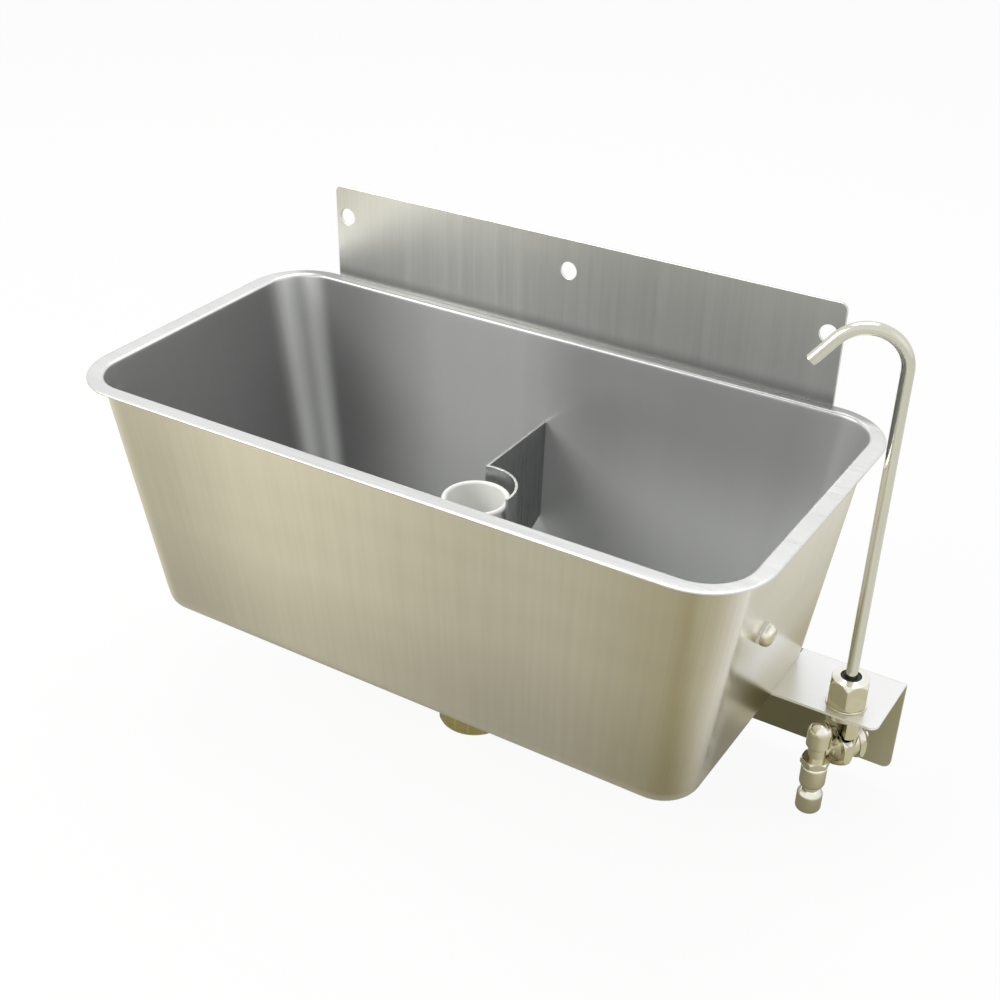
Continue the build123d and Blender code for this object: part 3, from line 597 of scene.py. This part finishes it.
# Bracket: one folded piece of the same sheet, welded to the right end wall, with
# its rear leg turned down and reaching in under the tub's floor.
bracket_steel = grained_finish(
    "bracket_steel", (0.93, 0.94, 0.935), (0.88, 0.89, 0.885), 0.3, (1, 24, 24), 60, 12, 0.5, 0.01, 0.75, 0.06
)
# Painted shade: the leg below the bracket's top is darker and browner, and darker still where the tub's
# shadow falls on it.
painted_in_bands(bracket_steel, place_between(bracket_steel, 2, -0.182, -0.18), [(0, (0.62, 0.58, 0.4)), (1, 1)])
near_tub = place_between(bracket_steel, 0, 0.205, 0.185)
leg = place_between(bracket_steel, 2, -0.18, -0.182)
painted_in_bands(bracket_steel, both(bracket_steel, near_tub, leg), [(0, 1), (1, (0.5, 0.48, 0.4))])
seated(sheared("bracket", "valve_bracket"), "bracket", bracket_steel, rubbed_steel, 0.25)

# Drain: a nickelled waste through the recess, clamped between rubber seals by a
# brass backnut, with a brass union nut of sixteen flats at its foot. The nuts and
# washers are turned from bar, and the flats milled after.
drain_y = tub["drain_y"]


def turning_tree():
    """Turn an outline about the upright axis and mill flats on it."""
    tree = bpy.data.node_groups.get("turned_and_milled")
    if tree:
        return tree
    tree = bpy.data.node_groups.new("turned_and_milled", "GeometryNodeTree")
    sizes = [("Axis Distance", "Float"), ("Steps Round", "Int")]
    sizes += [(name, "Float") for name in ("Flats", "Across Flats", "First Flat")]
    inputs = [("Outline", "Geometry"), *sizes, ("Finish", "Material")]
    add_sockets(tree, inputs, [("Geometry", "Geometry")])

    def step(kind, *sources, operation=None):
        node = tree.nodes.new(kind)
        if operation:
            node.operation = operation
        for slot, source in enumerate(sources):
            if isinstance(source, (int, float)):
                node.inputs[slot].default_value = source
            elif source is not None:
                tree.links.new(source, node.inputs[slot])
        return node.outputs[0]

    given = tree.nodes.new("NodeGroupInput")
    sink = tree.nodes.new("NodeGroupOutput")
    outline = step("GeometryNodeMeshToCurve", given.outputs["Outline"])
    path = tree.nodes.new("GeometryNodeCurvePrimitiveCircle")
    tree.links.new(given.outputs["Steps Round"], path.inputs["Resolution"])
    tree.links.new(given.outputs["Axis Distance"], path.inputs["Radius"])
    blank = step("GeometryNodeCurveToMesh", path.outputs[0], outline)
    split = tree.nodes.new("ShaderNodeSeparateXYZ")
    tree.links.new(step("GeometryNodeInputPosition"), split.inputs[0])
    x, y, z = split.outputs
    flat_line = tree.nodes.new("ShaderNodeCombineXYZ")
    tree.links.new(x, flat_line.inputs[0])
    tree.links.new(y, flat_line.inputs[1])
    radius_node = tree.nodes.new("ShaderNodeVectorMath")
    radius_node.operation = "LENGTH"
    tree.links.new(flat_line.outputs[0], radius_node.inputs[0])
    radius = radius_node.outputs["Value"]
    angle = step("ShaderNodeMath", y, x, operation="ARCTAN2")
    turned = step("ShaderNodeMath", angle, given.outputs["First Flat"], operation="SUBTRACT")
    half = step("ShaderNodeMath", math.pi, given.outputs["Flats"], operation="DIVIDE")
    half_back = step("ShaderNodeMath", half, -1.0, operation="MULTIPLY")
    on_flat = step("ShaderNodeMath", turned, half, half_back, operation="WRAP")
    slant = step("ShaderNodeMath", on_flat, operation="COSINE")
    half_across = step("ShaderNodeMath", given.outputs["Across Flats"], 0.5, operation="MULTIPLY")
    limit = step("ShaderNodeMath", half_across, slant, operation="DIVIDE")
    milled = step("ShaderNodeMath", radius, limit, operation="MINIMUM")
    share = step("ShaderNodeMath", milled, radius, operation="DIVIDE")
    place = tree.nodes.new("ShaderNodeCombineXYZ")
    tree.links.new(step("ShaderNodeMath", x, share, operation="MULTIPLY"), place.inputs[0])
    tree.links.new(step("ShaderNodeMath", y, share, operation="MULTIPLY"), place.inputs[1])
    tree.links.new(z, place.inputs[2])
    shaped = tree.nodes.new("GeometryNodeSetPosition")
    tree.links.new(blank, shaped.inputs["Geometry"])
    tree.links.new(place.outputs[0], shaped.inputs["Position"])
    real = step("GeometryNodeRealizeInstances", shaped.outputs[0])
    finish = tree.nodes.new("GeometryNodeSetMaterial")
    tree.links.new(real, finish.inputs["Geometry"])
    tree.links.new(given.outputs["Finish"], finish.inputs["Material"])
    tree.links.new(finish.outputs[0], sink.inputs[0])
    return tree


def made_plain(piece):
    """Turn what a piece's Geometry Nodes give into its own plain mesh, closed and facing out."""
    shaped = bpy.data.meshes.new_from_object(piece.evaluated_get(bpy.context.evaluated_depsgraph_get()))
    piece.modifiers.clear()
    worked = piece.data
    piece.data = shaped
    bpy.data.meshes.remove(worked)
    work = bmesh.new()
    work.from_mesh(shaped)
    bmesh.ops.remove_doubles(work, verts=work.verts, dist=2e-6)
    bmesh.ops.delete(work, geom=[line for line in work.edges if not line.link_faces], context="EDGES")
    bmesh.ops.recalc_face_normals(work, faces=work.faces)
    work.to_mesh(shaped)
    work.free()


def set_inputs(piece, tree, values):
    """Add a Geometry Nodes modifier and set its named inputs by their identifiers."""
    modifier = piece.modifiers.new(tree.name, "NODES")
    modifier.node_group = tree
    for socket in tree.interface.items_tree:
        if socket.in_out == "INPUT" and socket.name in values:
            modifier[socket.identifier] = values[socket.name]


def turned_piece(name, outline, look, seat, flats=6, across=4000, first_flat=0, steps=96):
    """A turned piece from an outline of (radius, height) in millimetres, placed by its seat."""
    distance = 0.05
    mesh = bpy.data.meshes.new(name)
    points = [(radius * MM - distance, -height * MM, 0) for radius, height in outline]
    mesh.from_pydata(points, [(k, (k + 1) % len(points)) for k in range(len(points))], [])
    piece = in_scene(name, mesh)
    values = {"Axis Distance": distance, "Steps Round": steps, "Flats": float(flats)}
    values.update({"Across Flats": across * MM, "First Flat": math.radians(first_flat), "Finish": look})
    set_inputs(piece, turning_tree(), values)
    made_plain(piece)
    piece.data.transform(seat)
    return piece


def upright(x, y):
    """A seat on an upright axis, heights kept as they are."""
    return Matrix.Translation((x * MM, y * MM, 0))


def ring_outline(outer, inner, foot, height, ease):
    """The section of a flat ring with eased corners."""
    top = foot + height
    return [
        (inner + ease, foot), (outer - ease, foot), (outer, foot + ease), (outer, top - ease),
        (outer - ease, top), (inner + ease, top), (inner, top - ease), (inner, foot + ease),
    ]


def nut_outline(across, foot, height, bore, cut_share=0.85):
    """The section of a hexagon nut's blank, its corners turned back at both ends."""
    corner = across / (2 * math.cos(math.radians(30)))
    cut = (corner - across / 2) * cut_share
    lower = [(corner - cut + cut * k / 5, foot + cut * k / 5) for k in range(6)]
    upper = [(corner - cut * k / 5, foot + height - cut + cut * k / 5) for k in range(6)]
    lead = 0.5
    bore_top = [(bore + lead, foot + height), (bore, foot + height - lead)]
    return lower + upper + bore_top + [(bore, foot + lead), (bore + lead, foot)]


nickel = grained_finish(
    "nickel_plate", (0.90, 0.88, 0.80), (0.80, 0.78, 0.69), 0.15, (1, 1, 1), 220, 60, 0.3, 0.02
)
rubbed_nickel = grained_finish(
    "rubbed_nickel", (0.95, 0.93, 0.86), (0.86, 0.83, 0.74), 0.14, (1, 1, 1), 200, 60
)
# Painted light and shade: nickel that faces down is darker and olive, and nickel that faces up keeps its full
# brightness.
for plate in (nickel, rubbed_nickel):
    painted_in_bands(plate, facing_up(plate), [(0.3, (0.54, 0.5, 0.36)), (0.55, (0.68, 0.65, 0.5)), (0.8, 1)])
brass = grained_finish(
    "turned_brass", (0.62, 0.55, 0.27), (0.48, 0.42, 0.18), 0.26, (1, 1, 20), 120, 40, 0.4, 0.03
)
rubbed_brass = grained_finish(
    "rubbed_brass", (0.80, 0.72, 0.42), (0.66, 0.58, 0.30), 0.2, (1, 1, 1), 100, 40
)
rubber = grained_finish(
    "seal_rubber", (0.035, 0.035, 0.034), (0.02, 0.02, 0.02), 0.55, (1, 1, 1), 400, 60, 0.6, 0.1, 0
)
fibre = grained_finish(
    "red_fibre", (0.3, 0.09, 0.05), (0.2, 0.05, 0.03), 0.65, (1, 1, 1), 300, 80, 0.6, 0.1, 0
)
drain_seat = upright(0, drain_y)
recess_floor = floor_top - 3
seated(sheared("waste", "drain_waste"), "waste", nickel, rubbed_nickel, 0.2)
for name, outer, inner, foot, height, look in (
    ("waste_seal", 32, tub["throat"], recess_floor, 1.2, rubber),
    ("lower_seal", 29, tub["throat"], recess_floor - 3.2, 2, rubber),
    ("slip_ring", 29, tub["throat"], recess_floor - 4.2, 1, fibre),
    ("tail_seal", 18, 14.5, floor_z - 62.5, 2.5, rubber),
):
    outline = ring_outline(outer, inner, foot, height, 0.2)
    seated(turned_piece(f"{name}_ring", outline, look, drain_seat), name, look)
backnut_outline = nut_outline(46, recess_floor - 12.2, 8, 18)
backnut = turned_piece("drain_backnut", backnut_outline, brass, drain_seat, 6, 46, 30)
seated(backnut, "backnut", brass, rubbed_brass, 0.15)
tail_foot = floor_z - 66
tail_radius, ease, tail_height = 21.5, 3, 17
tail_web, tail_thread, outlet_bore = 3.5, 18, 14.5
bends = (0, 0.4, 0.8, 1.2, math.pi / 2)
head_z = tail_foot + tail_height - ease
round_foot = [
    (tail_radius - ease + ease * math.sin(a), tail_foot + ease - ease * math.cos(a)) for a in bends
]
round_head = [(tail_radius - ease + ease * math.cos(a), head_z + ease * math.sin(a)) for a in bends]
tail_outline = round_foot + round_head
tail_outline += [(tail_thread, tail_foot + tail_height), (tail_thread, tail_foot + tail_web)]
tail_outline += [(outlet_bore, tail_foot + tail_web), (outlet_bore, tail_foot)]
across_tail = 2 * tail_radius * math.cos(math.radians(11.25))
tail_nut = turned_piece("tail_union_nut", tail_outline, brass, drain_seat, 16, across_tail, 11.25)
seated(tail_nut, "tail_nut", brass, rubbed_brass, 0.3, 15)

# Standpipe: an overflow tube moulded in white plastic, belled at the mouth. Its
# spigot, with an O-ring in a groove, drops into the waste and lifts out by hand.
def moulding(name, light, dark):
    """Moulded white plastic: a faint cloudiness, scuffed a little by use."""
    look = bpy.data.materials.new(name)
    look.use_nodes = True
    tree = look.node_tree
    shader = tree.nodes["Principled BSDF"]
    place = tree.nodes.new("ShaderNodeTexCoord")
    cloud = tree.nodes.new("ShaderNodeTexNoise")
    cloud.inputs["Scale"].default_value = 45
    cloud.inputs["Detail"].default_value = 3
    tree.links.new(place.outputs["Object"], cloud.inputs["Vector"])
    tint = tree.nodes.new("ShaderNodeMix")
    tint.data_type = "RGBA"
    tint.inputs["A"].default_value = (*dark, 1)
    tint.inputs["B"].default_value = (*light, 1)
    tree.links.new(cloud.outputs["Fac"], tint.inputs["Factor"])
    tree.links.new(tint.outputs["Result"], shader.inputs["Base Color"])
    scuff = spread_over(tree, cloud.outputs["Fac"], (0, 1), (0.22, 0.42))
    tree.links.new(scuff.outputs["Result"], shader.inputs["Roughness"])
    shader.inputs["Subsurface Weight"].default_value = 0.15
    shader.inputs["Subsurface Radius"].default_value = (0.004, 0.004, 0.004)
    return look


white_plastic = moulding("white_moulding", (0.97, 0.97, 0.95), (0.90, 0.90, 0.87))
pipe_foot = recess_floor + 3.3
pipe_top = rim_z - 60
spigot_foot = pipe_foot - 14
groove_z = pipe_foot - 7
groove_centre = 15.8 - 0.05 - 1


def arc_points(centre, radius, degrees):
    """Points of an outline that lie on an arc, at whole degrees."""
    return [
        (centre[0] + radius * math.cos(math.radians(a)), centre[1] + radius * math.sin(math.radians(a)))
        for a in degrees
    ]


lip = arc_points((17.7, pipe_top - 1.7), 1.7, range(0, 181, 20))
groove = arc_points((groove_centre, groove_z), 1, range(90, 271, 20))
pipe_outline = [(17.7, pipe_top - 3.4), *lip, (15.8, pipe_top - 9), (15.8, pipe_foot + 2)]
pipe_outline += [(12.4, pipe_foot + 2), (12.4, spigot_foot + 0.4), (12.8, spigot_foot)]
pipe_outline += [(14.9, spigot_foot), (15.3, spigot_foot + 0.4)]
pipe_outline += [(15.3, groove_z - 1), *reversed(groove), (15.3, groove_z + 1), (15.3, pipe_foot)]
pipe_outline += [(17.4, pipe_foot), (17.8, pipe_foot + 0.4), (17.8, pipe_top - 9.5), (17.78, pipe_top - 8.6)]
standpipe = turned_piece("overflow_standpipe", pipe_outline, white_plastic, drain_seat)
seated(standpipe, "standpipe", white_plastic, corner=40)
o_ring = arc_points((groove_centre, groove_z), 1, range(0, 360, 20))
seated(turned_piece("standpipe_o_ring", o_ring, rubber, drain_seat), "standpipe_ring", rubber)

# Baffle: a strip of 1.5 mm steel, flat from the rear wall and rolled round the
# standpipe, with its rear foot cut on a slant. It stands on the drain's flange.
# The baffle's steel is painted dark grey: a painted shade for where it stands down in the tub.
shaded_baffle_steel = grained_finish("shaded_baffle_steel", (0.42, 0.425, 0.425), (0.34, 0.345, 0.345), 0.3, (40, 40, 1), 8)
seated(sheared("baffle", "splash_baffle"), "baffle", shaded_baffle_steel, rubbed_steel, 0.3)

# End plug: a domed nickelled stud that closes the spare tap hole in the right end
# wall, drawn up from inside by a washer and a small hexagon nut.
lean = math.atan2(tub["end_lean"], tub["depth"])
plug_drop, plug_y = 62.3, -125
plug_z = rim_z - plug_drop
plug_x = tub["end_top"] - tub["end_lean"] * plug_drop / tub["depth"]
plug_out = Vector((math.cos(lean), 0, -math.sin(lean)))
plug_side = Vector((0, 1, 0))


def seat_on(origin, x_dir, z_dir):
    """A seat whose axis points along z_dir."""
    y_dir = z_dir.cross(x_dir)
    turned = Matrix((x_dir, y_dir, z_dir)).transposed().to_4x4()
    return Matrix.Translation(Vector(origin) * MM) @ turned


plug_seat = seat_on((plug_x, plug_y, plug_z), plug_side, plug_out)
dome = arc_points((5.9 - 3.6, 1 + 1.6), 3.6, range(0, 91, 10))
plug_outline = [(0, -7), (3.1, -7), (3.5, -6.6), (3.5, 1), (5.6, 1), (5.9, 1.3), *dome, (1.2, 6.2), (0, 6.2)]
seated(turned_piece("plug_stud", plug_outline, nickel, plug_seat), "end_plug", nickel, corner=40)
for name, outer, foot, height, look in (
    ("plug_seal", 5.9, 0, 1, white_plastic),
    ("plug_washer", 7.5, -2, 0.8, nickel),
):
    outline = ring_outline(outer, 3.5, foot, height, 0.15)
    seated(turned_piece(f"{name}_ring", outline, look, plug_seat), name, look)
plug_nut = turned_piece("plug_hexagon", nut_outline(11, -5.5, 3.5, 3.5), nickel, plug_seat, 6, 11, 30)
seated(plug_nut, "plug_nut", nickel, rubbed_nickel, 0.12)

# Valve: a nickelled brass body clamped through the bracket between washers by a
# tall gland nut. A branch at the front carries the inlet fittings, and the gland
# holds a rubber packing round the spout's tube.
spout_x, spout_y = 210, -54.5
tube_seat = upright(spout_x, spout_y)
bracket_top = floor_z + 7
seated(sheared("valve_body", "valve_trunk"), "valve_body", nickel, rubbed_nickel, 0.2)
for name, outer, inner, foot, height, look in (
    ("under_washer", 10.6, 7, bracket_top - 2.5, 1, fibre),
    ("gland_washer", 11, 7, bracket_top, 1, nickel),
):
    outline = ring_outline(outer, inner, foot, height, 0.2)
    seated(turned_piece(f"{name}_ring", outline, look, tube_seat), name, look)
gland_foot = bracket_top + 1
gland_corner = 20 / (2 * math.cos(math.radians(30)))
gland_cut = (gland_corner - 10) * 0.85
gland_side = [(gland_corner - gland_cut * (1 - k / 5), gland_foot + gland_cut * k / 5) for k in range(6)]
gland_lean = (gland_corner - 9.8) / 3.2
gland_side += [(gland_corner - gland_lean * k * 0.4, gland_foot + 13.2 + k * 0.4) for k in range(9)]
gland_outline = gland_side + [(5.6, gland_foot + 17.3), (5.6, bracket_top + 16.4)]
gland_outline += [(7, bracket_top + 16.4), (7, gland_foot)]
gland_nut = turned_piece("gland_hexagon", gland_outline, nickel, tube_seat, 6, 20, 75)
seated(gland_nut, "gland_nut", nickel, rubbed_nickel, 0.15)
# The rubber packing is a real part, and it is raised into the gland's mouth, where its black top also stands
# in for the dark shade gap round the tube.
packing_foot = bracket_top + 14
packing_outline = [(3.25, packing_foot), (6.4, packing_foot), (6.4, packing_foot + 2.4)]
packing_outline += [(5.55, packing_foot + 2.4), (5.55, gland_foot + 16.3), (5.1, gland_foot + 16.8)]
packing_outline += [(3.7, gland_foot + 16.8), (3.25, gland_foot + 16.3)]
gland_packing = turned_piece("gland_packing_ring", packing_outline, rubber, tube_seat)
seated(gland_packing, "gland_packing", rubber)

# Spout: a length of 6.4 mm stainless tube, bent over at the top and cut square
# at the tip. It turns in the gland, held down by a brass ferrule on the tube.
spout_bend, spout_top = 19.5, rim_z + 54.6
heading, dip = math.radians(200), math.radians(50)
tube_steel = grained_finish("tube_steel", (0.68, 0.675, 0.58), (0.6, 0.595, 0.5), 0.18, (40, 40, 1), 30, 20)


def spout_point(reach, z):
    """A point of the spout's centre line, in the upright plane that it bends in."""
    return (spout_x + math.cos(heading) * reach, spout_y + math.sin(heading) * reach, z)


def bent_tube_tree():
    """Draw a tube along a path, hollow from end to end and cut square."""
    tree = bpy.data.node_groups.new("bent_tube", "GeometryNodeTree")
    sizes = [(name, "Float") for name in ("Outer Radius", "Bore Radius", "Cut Off")]
    inputs = [("Path", "Geometry"), *sizes, ("Steps Round", "Int"), ("Finish", "Material")]
    add_sockets(tree, inputs, [("Geometry", "Geometry")])
    given = tree.nodes.new("NodeGroupInput")
    sink = tree.nodes.new("NodeGroupOutput")
    path = tree.nodes.new("GeometryNodeMeshToCurve")
    tree.links.new(given.outputs["Path"], path.inputs[0])
    whole = tree.nodes.new("GeometryNodeCurveLength")
    tree.links.new(path.outputs[0], whole.inputs[0])
    far = tree.nodes.new("ShaderNodeMath")
    far.operation = "SUBTRACT"
    tree.links.new(whole.outputs[0], far.inputs[0])
    tree.links.new(given.outputs["Cut Off"], far.inputs[1])
    cut = tree.nodes.new("GeometryNodeTrimCurve")
    cut.mode = "LENGTH"
    tree.links.new(path.outputs[0], cut.inputs["Curve"])
    length_inputs = [socket for socket in cut.inputs if socket.name in ("Start", "End")][-2:]
    tree.links.new(given.outputs["Cut Off"], length_inputs[0])
    tree.links.new(far.outputs[0], length_inputs[1])
    solids = []
    for line, radius in ((cut.outputs[0], "Outer Radius"), (path.outputs[0], "Bore Radius")):
        circle = tree.nodes.new("GeometryNodeCurvePrimitiveCircle")
        tree.links.new(given.outputs["Steps Round"], circle.inputs["Resolution"])
        tree.links.new(given.outputs[radius], circle.inputs["Radius"])
        drawn = tree.nodes.new("GeometryNodeCurveToMesh")
        tree.links.new(line, drawn.inputs["Curve"])
        tree.links.new(circle.outputs[0], drawn.inputs["Profile Curve"])
        drawn.inputs["Fill Caps"].default_value = True
        solids.append(drawn.outputs[0])
    hollow = tree.nodes.new("GeometryNodeMeshBoolean")
    hollow.operation = "DIFFERENCE"
    tree.links.new(solids[0], hollow.inputs["Mesh 1"])
    tree.links.new(solids[1], hollow.inputs["Mesh 2"])
    real = tree.nodes.new("GeometryNodeRealizeInstances")
    tree.links.new(hollow.outputs[0], real.inputs[0])
    finish = tree.nodes.new("GeometryNodeSetMaterial")
    tree.links.new(real.outputs[0], finish.inputs["Geometry"])
    tree.links.new(given.outputs["Finish"], finish.inputs["Material"])
    tree.links.new(finish.outputs[0], sink.inputs[0])
    return tree


cut_off = 2
tube_foot = bracket_top + 14 - 15 + 0.3
path = [spout_point(0, tube_foot - cut_off)]
path += [spout_point(0, tube_foot + (spout_top - tube_foot) * k / 24) for k in range(24)]
turn_end = math.pi / 2 + dip
for k in range(41):
    a = turn_end * k / 40
    path.append(spout_point(spout_bend * (1 - math.cos(a)), spout_top + spout_bend * math.sin(a)))
end_reach, end_z = spout_bend * (1 + math.sin(dip)), spout_top + spout_bend * math.cos(dip)
for run in (5, 10, 15 + cut_off):
    path.append(spout_point(end_reach + run * math.cos(dip), end_z - run * math.sin(dip)))
path_mesh = bpy.data.meshes.new("spout_tube")
path_mesh.from_pydata(
    [tuple(c * MM for c in p) for p in path], [(k, k + 1) for k in range(len(path) - 1)], []
)
spout_tube = in_scene("spout_tube", path_mesh)
tube_sizes = {"Outer Radius": 3.2 * MM, "Bore Radius": 2.4 * MM, "Cut Off": cut_off * MM}
tube_sizes.update({"Steps Round": 40, "Finish": tube_steel})
set_inputs(spout_tube, bent_tube_tree(), tube_sizes)
made_plain(spout_tube)
seated(spout_tube, "spout", tube_steel, rubbed_steel, 0.15)
ferrule_outline = ring_outline(4.75, 3.2, bracket_top + 14 - 3.3, 3, 0.3)
seated(turned_piece("tube_ferrule", ferrule_outline, brass, tube_seat), "spout_ferrule", brass)

# Union: a large hexagon drawn over the valve's nose, with a fibre seal, holds the
# elbow's flange. It is nickelled like the body.
branch_z = bracket_top - 28
forward = Vector((-math.sin(math.radians(30)), -math.cos(math.radians(30)), 0))
branch_seat = seat_on((spout_x, spout_y, branch_z), Vector((0, 0, 1)), forward)
union_blank = nut_outline(22, -1, 6, 5.9)
union_outline = union_blank[:12] + [(5.9, 5), (5.9, 4.8), (7, 4.8), (7, -1)]
union_nut = turned_piece("union_hexagon", union_outline, nickel, branch_seat, 6, 22, 30)
seated(union_nut, "union_nut", nickel, rubbed_nickel, 0.2)
branch_outline = ring_outline(6.2, 4, 2.6, 1, 0.15)
seated(turned_piece("branch_seal_ring", branch_outline, fibre, branch_seat), "branch_seal", fibre)

# Inlet: a domed elbow on the union, a thin hexagon under it, then two turned
# barrels in line: the check valve's body, and the hose nut with the supply's bore.
elbow_x, elbow_y = spout_x + forward.x * 14.8, spout_y + forward.y * 14.8
inlet_seat = upright(elbow_x, elbow_y)
elbow_foot = branch_z - 4.3
nut_foot = elbow_foot - 4
seated(sheared("elbow", "inlet_elbow"), "elbow", nickel, rubbed_nickel, 0.15, 25)
elbow_blank = nut_outline(14.6, nut_foot, 4, 4.2)
elbow_nut = turned_piece("elbow_hexagon", elbow_blank, nickel, inlet_seat, 6, 14.6, 60)
seated(elbow_nut, "elbow_nut", nickel, rubbed_nickel, 0.15)
check_foot = nut_foot - 17.1


def rounded(outline, radius, steps=4):
    """An outline with its corners rounded, each by no more than its shorter side allows."""
    smooth = []
    for k, corner in enumerate(outline):
        before, after = Vector(outline[k - 1]), Vector(outline[(k + 1) % len(outline)])
        here = Vector(corner)
        reach = min(radius, (before - here).length * 0.45, (after - here).length * 0.45)
        first = here + (before - here).normalized() * reach
        last = here + (after - here).normalized() * reach
        for step in range(steps + 1):
            share = step / steps
            smooth.append(tuple(first.lerp(here, share).lerp(here.lerp(last, share), share)))
    return smooth


check_outline = [(2.2, nut_foot - 3), (4.2, nut_foot - 3), (4.2, nut_foot), (5.2, nut_foot)]
check_outline += [(7.1, nut_foot - 1.6), (7.1, check_foot + 3.8), (4.8, check_foot), (2.2, check_foot)]
check_barrel = turned_piece("check_barrel", rounded(check_outline, 1.2), nickel, inlet_seat)
seated(check_barrel, "check_body", nickel, corner=40)
hose_foot = check_foot - 15.4
hose_outline = [(2.2, check_foot), (4.8, check_foot), (7.1, check_foot - 3.8), (7.1, hose_foot + 1.6)]
hose_outline += [(5.5, hose_foot), (3.2, hose_foot), (3.2, hose_foot + 8), (2.2, hose_foot + 8)]
hose_outline += [(2.2, hose_foot + 11), (3.2, hose_foot + 11)]
hose_outline += [(3.2, hose_foot + 12.6), (2.2, hose_foot + 12.6)]
hose_barrel = turned_piece("hose_barrel", rounded(hose_outline, 1.0), nickel, inlet_seat)
seated(hose_barrel, "hose_nut", nickel, corner=40)
inlet_outline = ring_outline(3.2, 2.2, hose_foot + 11, 1.6, 0.15)
seated(turned_piece("inlet_seal_ring", inlet_outline, rubber, inlet_seat), "inlet_seal", rubber)

# Regulator: a hexagon bonnet with a coned end behind the valve, and the slotted
# spindle in it that sets the flow.
seated(sheared("bonnet", "spindle_bonnet"), "bonnet", nickel, rubbed_nickel, 0.2)
seated(sheared("spindle", "flow_spindle"), "spindle", nickel, rubbed_nickel, 0.12)

bpy.context.view_layer.update()
